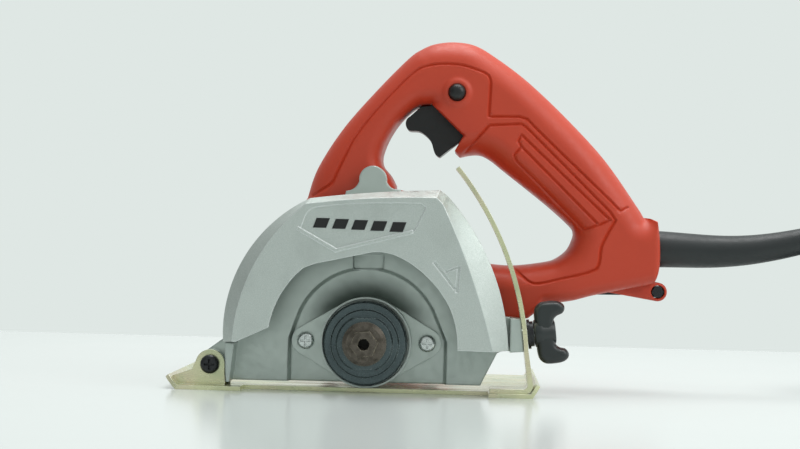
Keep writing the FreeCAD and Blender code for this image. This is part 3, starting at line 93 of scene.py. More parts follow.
class Finish:
    """A Principled material in object coordinates, with helpers that add its detail."""

    def __init__(self, name, colour, roughness, metallic=0.0):
        self.material = bpy.data.materials.new(name)
        self.material.use_nodes = True
        self.tree = self.material.node_tree
        self.shader = self.tree.nodes["Principled BSDF"]
        self.shader.inputs["Base Color"].default_value = colour
        self.shader.inputs["Roughness"].default_value = roughness
        self.shader.inputs["Metallic"].default_value = metallic
        self.material.diffuse_color = colour
        self.colour = None
        self.normal = None
        self.place = self.tree.nodes.new("ShaderNodeTexCoord").outputs["Object"]

    def add(self, kind, **settings):
        node = self.tree.nodes.new("ShaderNode" + kind)
        for key, value in settings.items():
            setattr(node, key, value)
        return node

    def link(self, output, socket):
        self.tree.links.new(output, socket)

    def noise(self, scale, detail=3.0, stretch=(1, 1, 1)):
        """Soft clouds, from 0 to 1, finer along an axis whose stretch is larger."""
        mapping = self.add("Mapping")
        mapping.inputs["Scale"].default_value = stretch
        self.link(self.place, mapping.inputs["Vector"])
        texture = self.add("TexNoise")
        texture.inputs["Scale"].default_value = scale
        texture.inputs["Detail"].default_value = detail
        self.link(mapping.outputs["Vector"], texture.inputs["Vector"])
        return texture.outputs["Fac"]

    def cells(self, scale):
        """The distance from the nearest of many scattered points."""
        texture = self.add("TexVoronoi")
        texture.inputs["Scale"].default_value = scale
        self.link(self.place, texture.inputs["Vector"])
        return texture.outputs["Distance"]

    def span(self, value, low, high, to_low=0.0, to_high=1.0):
        """Goes smoothly from to_low to to_high as the value goes from low to high."""
        ranged = self.add("MapRange", interpolation_type="SMOOTHSTEP")
        self.link(value, ranged.inputs["Value"])
        for key, number in (("From Min", low), ("From Max", high), ("To Min", to_low), ("To Max", to_high)):
            ranged.inputs[key].default_value = number
        return ranged.outputs["Result"]

    def tint(self, amount, colour):
        """Mixes a colour over what the base colour is so far, by a 0-1 value."""
        mix = self.add("Mix", data_type="RGBA")
        first, second = [socket for socket in mix.inputs if socket.type == "RGBA"]
        self.link(amount, mix.inputs["Factor"])
        if self.colour is None:
            first.default_value = self.shader.inputs["Base Color"].default_value
        else:
            self.link(self.colour, first)
        second.default_value = colour
        self.colour = next(socket for socket in mix.outputs if socket.type == "RGBA")
        self.link(self.colour, self.shader.inputs["Base Color"])
        return self

    def times(self, *values):
        """The product of several 0-1 values."""
        product = values[0]
        for value in values[1:]:
            node = self.add("Math", operation="MULTIPLY")
            self.link(product, node.inputs[0])
            self.link(value, node.inputs[1])
            product = node.outputs["Value"]
        return product

    def axis(self, letter):
        """One coordinate of the point, in metres."""
        split = self.add("SeparateXYZ")
        self.link(self.place, split.inputs["Vector"])
        return split.outputs[letter]

    def from_axle(self, x, z):
        """The distance from an axle along Y through (x, z), in metres."""
        moved = self.add("VectorMath", operation="SUBTRACT")
        self.link(self.place, moved.inputs[0])
        moved.inputs[1].default_value = (x, 0, z)
        level = self.add("VectorMath", operation="MULTIPLY")
        self.link(moved.outputs["Vector"], level.inputs[0])
        level.inputs[1].default_value = (1, 0, 1)
        length = self.add("VectorMath", operation="LENGTH")
        self.link(level.outputs["Vector"], length.inputs[0])
        return length.outputs["Value"]

    def rings(self, x, z, scale):
        """Fine turning marks about an axle along Y."""
        texture = self.add("TexNoise", noise_dimensions="1D")
        texture.inputs["Scale"].default_value = scale
        texture.inputs["Detail"].default_value = 2.0
        self.link(self.from_axle(x, z), texture.inputs["W"])
        return texture.outputs["Fac"]

    def lit_and_worn_edges(self, radius, colour, most):
        """Paints a highlight along the edges, together with the polish that handling gives them."""
        bevel = self.add("Bevel", samples=6)
        bevel.inputs["Radius"].default_value = radius
        surface = self.add("NewGeometry")
        dot = self.add("VectorMath", operation="DOT_PRODUCT")
        self.link(bevel.outputs["Normal"], dot.inputs[0])
        self.link(surface.outputs["True Normal"], dot.inputs[1])
        turned = self.add("Math", operation="SUBTRACT")
        turned.inputs[0].default_value = 1.0
        self.link(dot.outputs["Value"], turned.inputs[1])
        return self.tint(self.span(turned.outputs["Value"], *EDGE_HIGHLIGHT_TURN, 0.0, most), colour)

    def rough(self, value, low, high, to_low, to_high):
        """Varies the roughness from to_low to to_high."""
        self.link(self.span(value, low, high, to_low, to_high), self.shader.inputs["Roughness"])
        return self

    def rounded(self, radius):
        """Softens the sharp edges of a casting or a pressing."""
        bevel = self.add("Bevel", samples=4)
        bevel.inputs["Radius"].default_value = radius
        self.normal = bevel.outputs["Normal"]
        self.link(self.normal, self.shader.inputs["Normal"])
        return self

    def bump(self, value, height, strength):
        """Raises the surface by a 0-1 value times the height, over what the normal is so far."""
        bump = self.add("Bump")
        bump.inputs["Strength"].default_value = strength
        bump.inputs["Distance"].default_value = height
        self.link(value, bump.inputs["Height"])
        if self.normal is not None:
            self.link(self.normal, bump.inputs["Normal"])
        self.normal = bump.outputs["Normal"]
        self.link(self.normal, self.shader.inputs["Normal"])
        return self


def cast_aluminium():
    f = Finish("sand_cast_aluminium", linear(190, 199, 194), 0.4, 0.72).rounded(0.0006)
    grain = f.noise(2600, 4)
    f.tint(f.span(grain, 0.42, 0.62), linear(204, 211, 207))
    f.tint(f.span(f.noise(60, 3), 0.45, 0.75, 0.0, 0.3), linear(170, 178, 173))
    f.tint(f.span(f.cells(260), 0.0, 0.045, 0.75, 0.0), linear(105, 112, 108))
    # painted highlight along the ridges and edges, with their wear
    f.lit_and_worn_edges(0.0008, linear(246, 250, 250), most=0.9)
    f.rough(f.noise(700, 3), 0.3, 0.7, 0.32, 0.5)
    f.bump(grain, 0.00018, 0.55)
    return f.material


def machined_aluminium(name="die_cast_aluminium", edge=0.0006):
    f = Finish(name, linear(186, 196, 190), 0.34, 0.7).rounded(edge)
    f.tint(f.span(f.noise(45, 4), 0.35, 0.7, 0.0, 0.5), linear(169, 180, 174))
    f.tint(f.span(f.cells(130), 0.0, 0.03, 0.6, 0.0), linear(96, 102, 99))
    f.rough(f.noise(300, 3), 0.3, 0.7, 0.3, 0.44)
    f.bump(f.noise(1500, 3), 0.00006, 0.4)
    return f


SPINDLE = (0.0, 0.023)
# the painted shade in the housing's recess: how far it reaches from the spindle, the heights where it fades
# in, and the recess's depth
COLLAR_RADIUS, SHADE_RADIUS = 0.0215, 0.0345
SHADE_LOW, SHADE_HIGH = 0.020, 0.040
RECESS_MOUTH, RECESS_FLOOR = 0.0122, 0.0134


def housing_aluminium():
    """The gear housing, with painted shade in the recess above the bearing box."""
    f = machined_aluminium("housing_aluminium", 0.0012)
    near_collar = f.span(f.from_axle(*SPINDLE), COLLAR_RADIUS, SHADE_RADIUS, 1.0, 0.0)
    above = f.span(f.axis("Z"), SHADE_LOW, SHADE_HIGH)
    in_recess = f.span(f.axis("Y"), RECESS_MOUTH, RECESS_FLOOR)
    # painted shade over the recess floor, darkest beside the collar and above the spindle
    f.tint(f.times(near_collar, above, in_recess), linear(66, 76, 70))
    f.lit_and_worn_edges(0.0006, linear(214, 222, 220), most=0.6)
    return f.material


def bearing_box():
    f = machined_aluminium("bearing_box_aluminium", 0.0005)
    f.lit_and_worn_edges(0.0005, linear(226, 234, 232), most=0.8)
    return f.material


def yellow_zinc():
    """Passivated zinc: pink and green clouds over a pale yellow, drawn along X."""
    f = Finish("yellow_zinc_plate", linear(214, 216, 176), 0.28, 0.72).rounded(0.0004)
    f.tint(f.span(f.noise(28, 3, (1, 0.4, 1)), 0.45, 0.66, 0.0, 0.45), linear(216, 197, 178))
    f.tint(f.span(f.noise(55, 3), 0.5, 0.7, 0.0, 0.7), linear(182, 196, 156))
    f.lit_and_worn_edges(0.0004, linear(246, 247, 226), most=0.8)
    f.rough(f.noise(240, 4, (0.15, 1, 1)), 0.3, 0.7, 0.18, 0.34)
    f.bump(f.noise(900, 2, (0.1, 1, 1)), 0.00004, 0.35)
    return f.material


def plated(name, colour, roughness, metallic=0.9):
    f = Finish(name, colour, roughness, metallic).rounded(0.00025)
    f.tint(f.span(f.noise(500, 3), 0.5, 0.75, 0.0, 0.4), tuple(c * 0.72 for c in colour[:3]) + (1,))
    f.rough(f.noise(900, 2), 0.3, 0.7, roughness * 0.8, roughness * 1.3)
    f.bump(f.noise(2200, 2), 0.00003, 0.4)
    return f.material


def flange_steel():
    f = Finish("blackened_flange", linear(76, 88, 90), 0.3, 0.75).rounded(0.0004)
    f.tint(f.span(f.noise(70, 4), 0.4, 0.7, 0.0, 0.6), linear(58, 68, 70))
    f.tint(f.span(f.rings(*SPINDLE, 2200), 0.45, 0.62, 0.0, 0.5), linear(88, 100, 102))
    f.lit_and_worn_edges(0.0005, linear(150, 162, 162), most=0.7)
    f.rough(f.noise(400, 3), 0.3, 0.7, 0.22, 0.36)
    f.bump(f.rings(*SPINDLE, 2600), 0.00003, 0.5)
    return f.material


# how far from the axle the painted shade inside the socket is full, and where it has faded
SOCKET_RIM = (0.0024, 0.0028)


def bolt_steel():
    """The flange bolt, with painted shade inside its hexagon socket."""
    f = Finish("oiled_bolt", linear(98, 92, 84), 0.32, 0.85).rounded(0.0003)
    f.tint(f.span(f.noise(260, 4), 0.45, 0.65, 0.0, 0.7), linear(66, 62, 54))
    f.lit_and_worn_edges(0.00045, linear(176, 168, 148), most=0.8)
    f.tint(f.span(f.from_axle(*SPINDLE), *SOCKET_RIM, 1.0, 0.0), linear(22, 22, 20))
    f.rough(f.noise(500, 3), 0.3, 0.7, 0.22, 0.42)
    f.bump(f.noise(1300, 3), 0.00005, 0.5)
    return f.material


def moulded(name, colour, shade, roughness, height=0.00004, grain=1800, edge=0.0):
    """Injection-moulded plastic or rubber: a fine even texture and slight clouding."""
    f = Finish(name, colour, roughness)
    if edge:
        f.rounded(edge)
    f.tint(f.span(f.noise(26, 2), 0.35, 0.7, 0.0, 0.45), shade)
    f.rough(f.noise(420, 2), 0.3, 0.7, roughness * 0.88, roughness * 1.12)
    f.bump(f.noise(grain, 2), height, 0.5)
    return f


def red_plastic():
    f = moulded("red_handle_plastic", linear(196, 62, 33), linear(187, 56, 29), 0.46, 0.00005, 2300)
    f.shader.inputs["Coat Weight"].default_value = 0.06
    f.shader.inputs["Coat Roughness"].default_value = 0.4
    f.shader.inputs["Subsurface Weight"].default_value = 0.03
    f.shader.inputs["Subsurface Radius"].default_value = (0.004, 0.001, 0.0005)
    return f.material


def copper_wire():
    f = Finish("enamelled_copper", linear(176, 92, 52), 0.3, 0.85)
    f.tint(f.span(f.noise(900, 2, (1, 0.1, 1)), 0.4, 0.6), linear(128, 60, 34))
    f.bump(f.noise(1400, 2, (1, 0.1, 1)), 0.0001, 0.6)
    return f.material


def laminations():
    f = Finish("stacked_laminations", linear(104, 104, 106), 0.42, 0.8)
    f.tint(f.span(f.noise(2200, 1, (0.02, 1, 0.02)), 0.4, 0.6), linear(70, 70, 72))
    f.bump(f.noise(2200, 1, (0.02, 1, 0.02)), 0.0001, 0.6)
    return f.material


black = linear(42, 46, 48)
black_moulding = moulded("black_moulding", linear(14, 17, 17), linear(9, 11, 12), 0.36, 0.00006, 1700, 0.0004)
guard_rubber = moulded("guard_rubber", linear(33, 39, 40), linear(26, 31, 32), 0.44, 0.00005, 1300)
cord_rubber = moulded("cord_rubber", linear(33, 38, 40), linear(27, 31, 33), 0.44, 0.00004, 1500)
FINISHES = {
    "cast_aluminium": cast_aluminium(),
    "machined_aluminium": machined_aluminium().material,
    "yellow_zinc": yellow_zinc(),
    "bright_zinc": plated("bright_zinc_screw", linear(208, 214, 212), 0.24),
    "black_steel": plated("black_oxide_steel", linear(44, 46, 48), 0.3, 0.5),
    "brown_steel": bolt_steel(),
    "bare_steel": plated("ground_steel", linear(186, 188, 188), 0.28),
    "lamination_steel": laminations(),
    "copper": copper_wire(),
    "carbon": moulded("pressed_carbon", linear(40, 40, 41), black, 0.6).material,
    "red_plastic": red_plastic(),
    "black_plastic": black_moulding.material,
    "fan_plastic": moulded("fan_moulding", linear(60, 60, 60), black, 0.5).material,
    "black_rubber": guard_rubber.material,
    "cord_sheath": cord_rubber.material,
    "nickel": plated("nickel_pin", linear(205, 202, 195), 0.2),
}
OWN_FINISH = {"gear_housing": housing_aluminium(), "bearing_retainer": bearing_box()}
OWN_FINISH["inner_flange"] = OWN_FINISH["outer_flange"] = flange_steel()


for part in frame["record"]["subparts"]:
    materials = nodes[part["node"]].data.materials
    materials.clear()
    materials.append(OWN_FINISH.get(part["node"]) or FINISHES[part["material_slot"]])

SHARP = math.radians(38)


def mesh_object(name, points, faces, material):
    """A mesh from points in millimetres, shaded smooth except at sharp edges."""
    mesh = bpy.data.meshes.new(name)
    mesh.from_pydata([tuple(c * MM for c in p) for p in points], [], faces)
    mesh.update()
    mesh.shade_smooth()
    mesh.set_sharp_from_angle(angle=SHARP)
    mesh.materials.append(material)
    obj = bpy.data.objects.new(name, mesh)
    scene.collection.objects.link(obj)
    return obj


# ------------------------------------------------------------------ cord
CORD_ROUTE = [
    (214.0, 42.0, 77.0), (229.0, 42.0, 81.0), (245.5, 40.5, 81.5), (261.0, 39.0, 76.0), (275.5, 39.5, 66.0),
    (288.5, 43.0, 55.0), (299.0, 51.0, 44.6), (305.9, 61.8, 36.6), (308.8, 74.0, 32.0), (307.7, 86.1, 29.5),
]
TAIL_ROUTE = [
    (315.9, 68.7, 5.0), (316.6, 84.0, 4.6), (313.5, 99.0, 4.4), (306.5, 112.5, 5.4), (296.5, 124.5, 7.0),
]
COIL_CENTRE, COIL_MEAN = (268.0, 72.0), 44.0
CORD_RADIUS = 4.0
# each turn's (radius, height), from the lead to the tail
COIL_SLOTS = [(40.0, 21.0), (48.0, 21.0), (48.0, 13.0), (40.0, 13.0), (40.0, 5.0), (48.0, 5.0)]
# (angle, radius, height) where the lead comes down over the turns that lie below it
LEAD_IN = [
    (36.4, 43.0, 29.2), (53.2, 43.1, 28.6), (70.0, 42.7, 27.2), (88.0, 41.5, 25.6), (108.0, 40.4, 23.3),
]
# where each turn moves over to the next place, and how far it swings clear on its way down
SHIFT_FROM, SHIFT_TO = 250.0, 410.0
BULGE = 3.0
STEP = 20.0
TAIL_ANGLE = 356.0


def on_coil(angle, radius, height):
    """A point of the coil, from its angle in degrees."""
    a = math.radians(angle)
    return (COIL_CENTRE[0] + radius * math.cos(a), COIL_CENTRE[1] + radius * math.sin(a), height)


def coil_points():
    """The coil's turns, as more points of the cord's route."""
    points = [on_coil(*p) for p in LEAD_IN]
    angle = LEAD_IN[-1][0] + STEP
    last = 360.0 * (len(COIL_SLOTS) - 1) + TAIL_ANGLE
    while angle < last - STEP / 2:
        turn_number = max(0, int((angle - SHIFT_TO) // 360) + 1)
        here = COIL_SLOTS[turn_number]
        after = COIL_SLOTS[min(turn_number + 1, len(COIL_SLOTS) - 1)]
        share = (angle - 360 * turn_number - SHIFT_FROM) / (SHIFT_TO - SHIFT_FROM)
        share = min(max(share, 0.0), 1.0)
        smooth = share * share * (3 - 2 * share)
        radius, height = (a + (b - a) * smooth for a, b in zip(here, after))
        if here[1] != after[1]:
            outward = 1 if here[0] > COIL_MEAN else -1
            radius += outward * BULGE * math.sin(math.pi * share) ** 2
        points.append(on_coil(angle, radius, height))
        angle += STEP
    return points


def spline_line(name, points, resolution=6):
    """Points along the NURBS spline whose control points are the route's, in metres."""
    data = bpy.data.curves.new(name, "CURVE")
    data.dimensions = "3D"
    data.resolution_u = resolution
    spline = data.splines.new("NURBS")
    spline.points.add(len(points) - 1)
    for point, place in zip(spline.points, points):
        point.co = tuple(c * MM for c in place) + (1.0,)
    spline.order_u = 3
    spline.use_endpoint_u = True
    holder = bpy.data.objects.new(name, data)
    mesh = bpy.data.meshes.new_from_object(holder)
    line = [v.co.copy() for v in mesh.vertices]
    bpy.data.meshes.remove(mesh)
    bpy.data.curves.remove(data)
    return line


def tube(name, line, radius, material, sides=16):
    """A round tube along a line in metres, closed at both ends."""
    count = len(line)
    ahead = [(line[min(k + 1, count - 1)] - line[max(k - 1, 0)]).normalized() for k in range(count)]
    side = ahead[0].cross(Vector((0, 0, 1))).normalized()
    points, faces = [], []
    for k in range(count):
        side = (side - ahead[k] * side.dot(ahead[k])).normalized()
        up = ahead[k].cross(side)
        for s in range(sides):
            a = 2 * math.pi * s / sides
            points.append((line[k] + (side * math.cos(a) + up * math.sin(a)) * radius * MM) / MM)
    for k in range(count - 1):
        for s in range(sides):
            a, b = k * sides + s, k * sides + (s + 1) % sides
            faces.append((a, b, b + sides, a + sides))
    faces.append(tuple(reversed(range(sides))))
    faces.append(tuple(range((count - 1) * sides, count * sides)))
    return mesh_object(name, points, faces, material)


cord_line = spline_line("cord_route", CORD_ROUTE + coil_points() + TAIL_ROUTE)
cord = tube("mains_cord", cord_line, CORD_RADIUS, FINISHES["cord_sheath"])
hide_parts("cord_lead", "cord_coil", "cord_tail")
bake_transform(cord)


# ------------------------------------------------------------------ moulded halves
def smooth_run(points, step=1.0):
    """A smooth curve through the points, as a list of points about step apart."""
    ends = [points[0]] + list(points) + [points[-1]]
    run = [points[0]]
    for before, a, b, after in zip(ends, ends[1:], ends[2:], ends[3:]):
        pieces = max(1, round(math.dist(a, b) / step))
        for k in range(1, pieces + 1):
            t = k / pieces
            run.append(tuple(
                0.5 * (2 * q + (r - p) * t + (2 * p - 5 * q + 4 * r - s) * t**2
                       + (3 * q - p - 3 * r + s) * t**3)
                for p, q, r, s in zip(before, a, b, after)
            ))
    return run


def straight_run(points, step=1.0):
    """Straight lines through the points, divided about every step."""
    run = [points[0]]
    for a, b in zip(points, points[1:]):
        pieces = max(1, round(math.dist(a, b) / step))
        run += [tuple(p + (q - p) * k / pieces for p, q in zip(a, b)) for k in range(1, pieces + 1)]
    return run


def arc_run(centre, radius, start, end, step=1.0):
    """An arc from one angle to another, in degrees."""
    pieces = max(2, round(abs(math.radians(end - start)) * radius / step))
    angles = [math.radians(start + (end - start) * k / pieces) for k in range(pieces + 1)]
    return [(centre[0] + radius * math.cos(a), centre[1] + radius * math.sin(a)) for a in angles]


class Loop:
    """A closed outline made of runs, each with its own edge rounding (inwards, down)."""

    def __init__(self):
        self.points = []
        self.rounding = []

    def run(self, points, inwards, down):
        """Adds a run, with a straight line to it where it starts away from the last one."""
        if self.points and math.dist(self.points[-1], points[0]) < 1e-6:
            points = points[1:]
        elif self.points:
            points = straight_run([self.points[-1], points[0]])[1:] + points[1:]
        if not self.points:
            self.points.append(points[0])
            points = points[1:]
        self.points += points
        self.rounding += [(inwards, down)] * len(points)
        return self

    def closed(self):
        """Joins the end to the start; rounding[k] belongs to the segment after point k."""
        if math.dist(self.points[-1], self.points[0]) < 1e-6:
            self.points.pop()
        else:
            last = straight_run([self.points[-1], self.points[0]])[1:-1]
            self.points += last
            self.rounding += [self.rounding[-1]] * (len(last) + 1)
        return self


def segments(loop):
    """The starts and the ends of a loop's segments."""
    a = np.array(loop.points)
    return a, np.roll(a, -1, axis=0)


def distances(points, starts, ends):
    """The distance of each point from each segment."""
    d = ends - starts
    t = ((points[:, None, :] - starts[None]) * d[None]).sum(2) / np.maximum((d * d).sum(1), 1e-12)[None]
    t = np.clip(t, 0, 1)
    return np.linalg.norm(points[:, None, :] - starts[None] - t[..., None] * d[None], axis=2)


def in_chunks(function, points, size=2500):
    """The function's result for all the points, worked out a few at a time to save memory."""
    return np.concatenate([function(points[k:k + size]) for k in range(0, len(points), size)])


def inside(points, loops):
    """Even-odd test of points against the loops together."""
    starts = np.concatenate([segments(loop)[0] for loop in loops])
    ends = np.concatenate([segments(loop)[1] for loop in loops])

    def test(p):
        x, z = p[:, 0:1], p[:, 1:2]
        crosses = (starts[None, :, 1] > z) != (ends[None, :, 1] > z)
        rise = ends[:, 1] - starts[:, 1]
        rise = np.where(np.abs(rise) < 1e-12, 1e-12, rise)
        at = starts[None, :, 0] + (z - starts[None, :, 1]) * ((ends - starts)[:, 0] / rise)[None]
        return (crosses & (x < at)).sum(1) % 2 == 1

    return in_chunks(test, points)


def smoothstep(value):
    value = np.clip(value, 0, 1)
    return value * value * (3 - 2 * value)


def lines_distance(points, lines):
    """The distance of each point from the nearest of the lines."""
    starts = np.concatenate([np.array(line[:-1]) for line in lines])
    ends = np.concatenate([np.array(line[1:]) for line in lines])
    return in_chunks(lambda p: distances(p, starts, ends).min(1), points)


class Shell:
    """Half of a moulding, as two height fields over one outline: its skin and its hollow."""

    # rows of mesh points beside the outline, closest together where its edge is rounded
    ROW_OFFSETS = (0.18, 0.55, 1.15, 2.0, 3.0)
    FULL_ROUNDING = 8.0
    FILL_GAP = 2.4
    THINNEST = 0.6

    def __init__(self, loops, thickness, spacing=0.9):
        self.loops = loops
        self.thickness = thickness
        self.spacing = spacing
        self.starts = np.concatenate([segments(loop)[0] for loop in loops])
        self.ends = np.concatenate([segments(loop)[1] for loop in loops])
        rounding = np.array([r for loop in loops for r in loop.rounding])
        self.inwards, self.down = rounding[:, 0], rounding[:, 1]
        self.rows = []

    def edge_loss(self, points):
        """How far the skin falls at each point, because of the rounded edges."""

        def loss(p):
            d = distances(p, self.starts, self.ends)
            t = np.clip(d / self.inwards[None], 0, 1)
            return (self.down[None] * (1 - np.sqrt(np.clip(1 - (1 - t) ** 2, 0, 1)))).max(1)

        return in_chunks(loss, points)

    def nearest(self, points):
        """The distance of each point from the outline."""
        return in_chunks(lambda p: distances(p, self.starts, self.ends).min(1), points)

    def add_rows(self, line, offsets, step=0.8):
        """Rows of mesh points along a line, so that a groove there comes out crisp."""
        line = np.array(straight_run(line, step))
        ahead = np.gradient(line, axis=0)
        ahead /= np.maximum(np.linalg.norm(ahead, axis=1), 1e-9)[:, None]
        across = np.stack([-ahead[:, 1], ahead[:, 0]], axis=1)
        self.rows += [line + across * o for o in offsets]

    def add_circle(self, centre, radii):
        for r in radii:
            self.rows.append(np.array(arc_run(centre, r, 0, 360, 0.7)[:-1]))

    def grid(self):
        """Outline points, rows beside the outline and the features, and an even fill."""
        outline = np.concatenate([np.array(loop.points) for loop in self.loops])
        rows = []
        for loop in self.loops:
            a = np.array(loop.points)
            ahead = np.roll(a, -1, axis=0) - np.roll(a, 1, axis=0)
            ahead /= np.maximum(np.linalg.norm(ahead, axis=1), 1e-9)[:, None]
            across = np.stack([-ahead[:, 1], ahead[:, 0]], axis=1)
            share = np.minimum(np.array([r[0] for r in loop.rounding]) / self.FULL_ROUNDING, 1.0)[:, None]
            for offset in self.ROW_OFFSETS:
                for sign in (1, -1):
                    rows.append(a + across * sign * offset * (0.35 + 0.65 * share))
        rows = np.concatenate(rows)
        limit = self.spacing * 0.14
        rows = rows[inside(rows, self.loops) & (self.nearest(rows) > limit)]
        extra = np.concatenate(self.rows) if self.rows else np.zeros((0, 2))
        if len(extra):
            extra = extra[inside(extra, self.loops) & (self.nearest(extra) > limit)]
        low, high = outline.min(0), outline.max(0)
        xs = np.arange(low[0], high[0], self.spacing)
        zs = np.arange(low[1], high[1], self.spacing * 0.866)
        fill = np.array([(x + (0.5 * self.spacing if k % 2 else 0), z) for k, z in enumerate(zs) for x in xs])
        fill = fill[inside(fill, self.loops)]
        fill = fill[self.nearest(fill) > self.FILL_GAP]
        if len(extra):
            fill = fill[self.far_from(fill, extra, self.spacing * 0.7)]
            rows = rows[self.far_from(rows, extra, 0.3)]
        return outline, np.concatenate([rows, extra, fill])

    @staticmethod
    def far_from(points, others, gap):
        """True for each point that is more than gap away from all the others."""
        tree = KDTree(len(others))
        for k, p in enumerate(others):
            tree.insert((p[0], p[1], 0), k)
        tree.balance()
        return np.array([tree.find((p[0], p[1], 0))[2] > gap for p in points])

    def build(self, name, middle, side, skin, hollow, material):
        """side is -1 for the near half and 1 for the far one; skin and hollow give heights."""
        outline, others = self.grid()
        count = len(outline)
        edges, base = [], 0
        for loop in self.loops:
            n = len(loop.points)
            edges += [(base + k, base + (k + 1) % n) for k in range(n)]
            base += n
        everything = [Vector(p) for p in np.concatenate([outline, others])]
        found, _, triangles, *_ = delaunay_2d_cdt(everything, edges, [], 0, 1e-6, False)
        flat = np.array([tuple(p) for p in found])
        triangles = np.array([t for t in triangles if len(t) == 3])
        centres = flat[triangles].mean(1)
        triangles = triangles[inside(centres, self.loops)]
        used, triangles = np.unique(triangles, return_inverse=True)
        triangles = triangles.reshape(-1, 3)
        flat = flat[used]
        top = skin(flat, self)
        low = np.minimum(hollow(flat, self, top), top - self.THINNEST)
        triangle_sides = np.concatenate([triangles[:, [0, 1]], triangles[:, [1, 2]], triangles[:, [2, 0]]])
        pairs = np.sort(triangle_sides, axis=1)
        unique, index, uses = np.unique(pairs, axis=0, return_index=True, return_counts=True)
        rim = set(map(tuple, unique[uses == 1]))
        n = len(flat)
        heights = np.concatenate([top, low])
        plan = np.concatenate([flat, flat])
        points = [(p[0], middle + side * h, p[1]) for p, h in zip(plan, heights)]
        faces = []
        flip = side > 0
        for t in triangles:
            upper = tuple(int(k) for k in t)
            lower = tuple(int(k) + n for k in reversed(t))
            if flip:
                upper, lower = upper[::-1], lower[::-1]
            faces += [upper, lower]
            for a, b in ((0, 1), (1, 2), (2, 0)):
                if tuple(sorted((int(t[a]), int(t[b])))) in rim:
                    wall = (int(t[b]), int(t[a]), int(t[a]) + n, int(t[b]) + n)
                    faces.append(wall[::-1] if flip else wall)
        return mesh_object(name, points, faces, material)


MOTOR = (5.0, 45.399)
MIDDLE_Y = 42.0
HALF = 20.0
# the saddle round the motor, between its ends in degrees
SADDLE_INNER, SADDLE_OUTER = 38.3, 43.0
SADDLE_TOP, SADDLE_FRONT, SADDLE_REAR = 160, 186, 344
HAND_ARC, HAND_ARC_FROM, HAND_ARC_TO = 49.0, 18.3, 83.5
# the trigger's slot and the lock button
EDGE_START, EDGE_END = (26.9, 134.6), (42.3, 119.9)
LOCK = (38.9, 139.6)


def polar(centre, radius, degrees):
    a = math.radians(degrees)
    return (centre[0] + radius * math.cos(a), centre[1] + radius * math.sin(a))


def handle_loops():
    """The D handle's outer outline and the hand's opening."""
    saddle_front = polar(MOTOR, SADDLE_OUTER, SADDLE_FRONT)
    saddle_rear = polar(MOTOR, SADDLE_OUTER, SADDLE_REAR)
    outer = Loop()
    outer.run(smooth_run([
        (-30.8, 89.0), (-26.2, 103.2), (-14.9, 121.8), (0.2, 139.9), (15.2, 155.7), (21.9, 160.6),
        (28.3, 163.2), (37.1, 164.2), (46.4, 162.9), (55.6, 158.0), (71.9, 146.3), (91.1, 128.8),
        (109.0, 110.0), (124.1, 89.3), (127.9, 83.4)]), 12.0, 13.0)
    outer.run(straight_run([(127.9, 83.4), (130.4, 83.0), (133.7, 81.7)]), 3.5, 4.0)
    outer.run(smooth_run([
        (133.7, 81.7), (134.8, 73.2), (135.1, 62.8), (134.2, 56.6), (132.3, 52.4)]), 2.2, 3.0)
    outer.run(smooth_run([(132.3, 52.4), (118.2, 49.5), (104.0, 46.3), (94.6, 43.7), (82.8, 42.0)]), 5.0, 8.0)
    outer.run(straight_run([(82.8, 42.0), (74.4, 35.2), (64.0, 34.0), saddle_rear]), 2.0, 3.0)
    outer.run(straight_run([saddle_rear, polar(MOTOR, SADDLE_INNER, SADDLE_REAR)]), 1.0, 1.0)
    outer.run(arc_run(MOTOR, SADDLE_INNER, SADDLE_REAR - 360, SADDLE_FRONT), 0.8, 0.8)
    outer.run(straight_run([polar(MOTOR, SADDLE_INNER, SADDLE_FRONT), saddle_front]), 1.0, 1.0)
    outer.run(arc_run(MOTOR, SADDLE_OUTER, SADDLE_FRONT, SADDLE_TOP), 3.0, 4.0)
    outer.run(straight_run([polar(MOTOR, SADDLE_OUTER, SADDLE_TOP), (-33.4, 76.0), (-30.8, 89.0)]), 4.0, 6.0)
    opening = Loop()
    opening.run(smooth_run([
        (10.7, 96.0), (8.2, 100.6), (4.6, 105.0), (3.9, 109.0), (5.0, 113.6), (7.8, 119.9), (11.9, 126.1),
        (16.6, 131.0), (21.2, 134.0), EDGE_START]), 7.0, 9.0)
    opening.run(straight_run([EDGE_START, EDGE_END]), 1.0, 1.2)
    opening.run(straight_run([EDGE_END, (38.4, 112.6), (40.8, 110.2)]), 2.0, 3.0)
    opening.run(smooth_run([
        (40.8, 110.2), (45.5, 111.3), (50.3, 111.4), (55.1, 109.2), (62.3, 103.7), (81.7, 88.9), (93.2, 79.0),
        (95.4, 75.5), (94.9, 72.2), (92.6, 67.4), (88.0, 63.5), (82.3, 61.4), (66.0, 59.3), (50.5, 60.5)]),
        11.0, 13.0)
    opening.run(arc_run(MOTOR, HAND_ARC, HAND_ARC_FROM, HAND_ARC_TO), 4.0, 5.0)
    return outer.closed(), opening.closed()


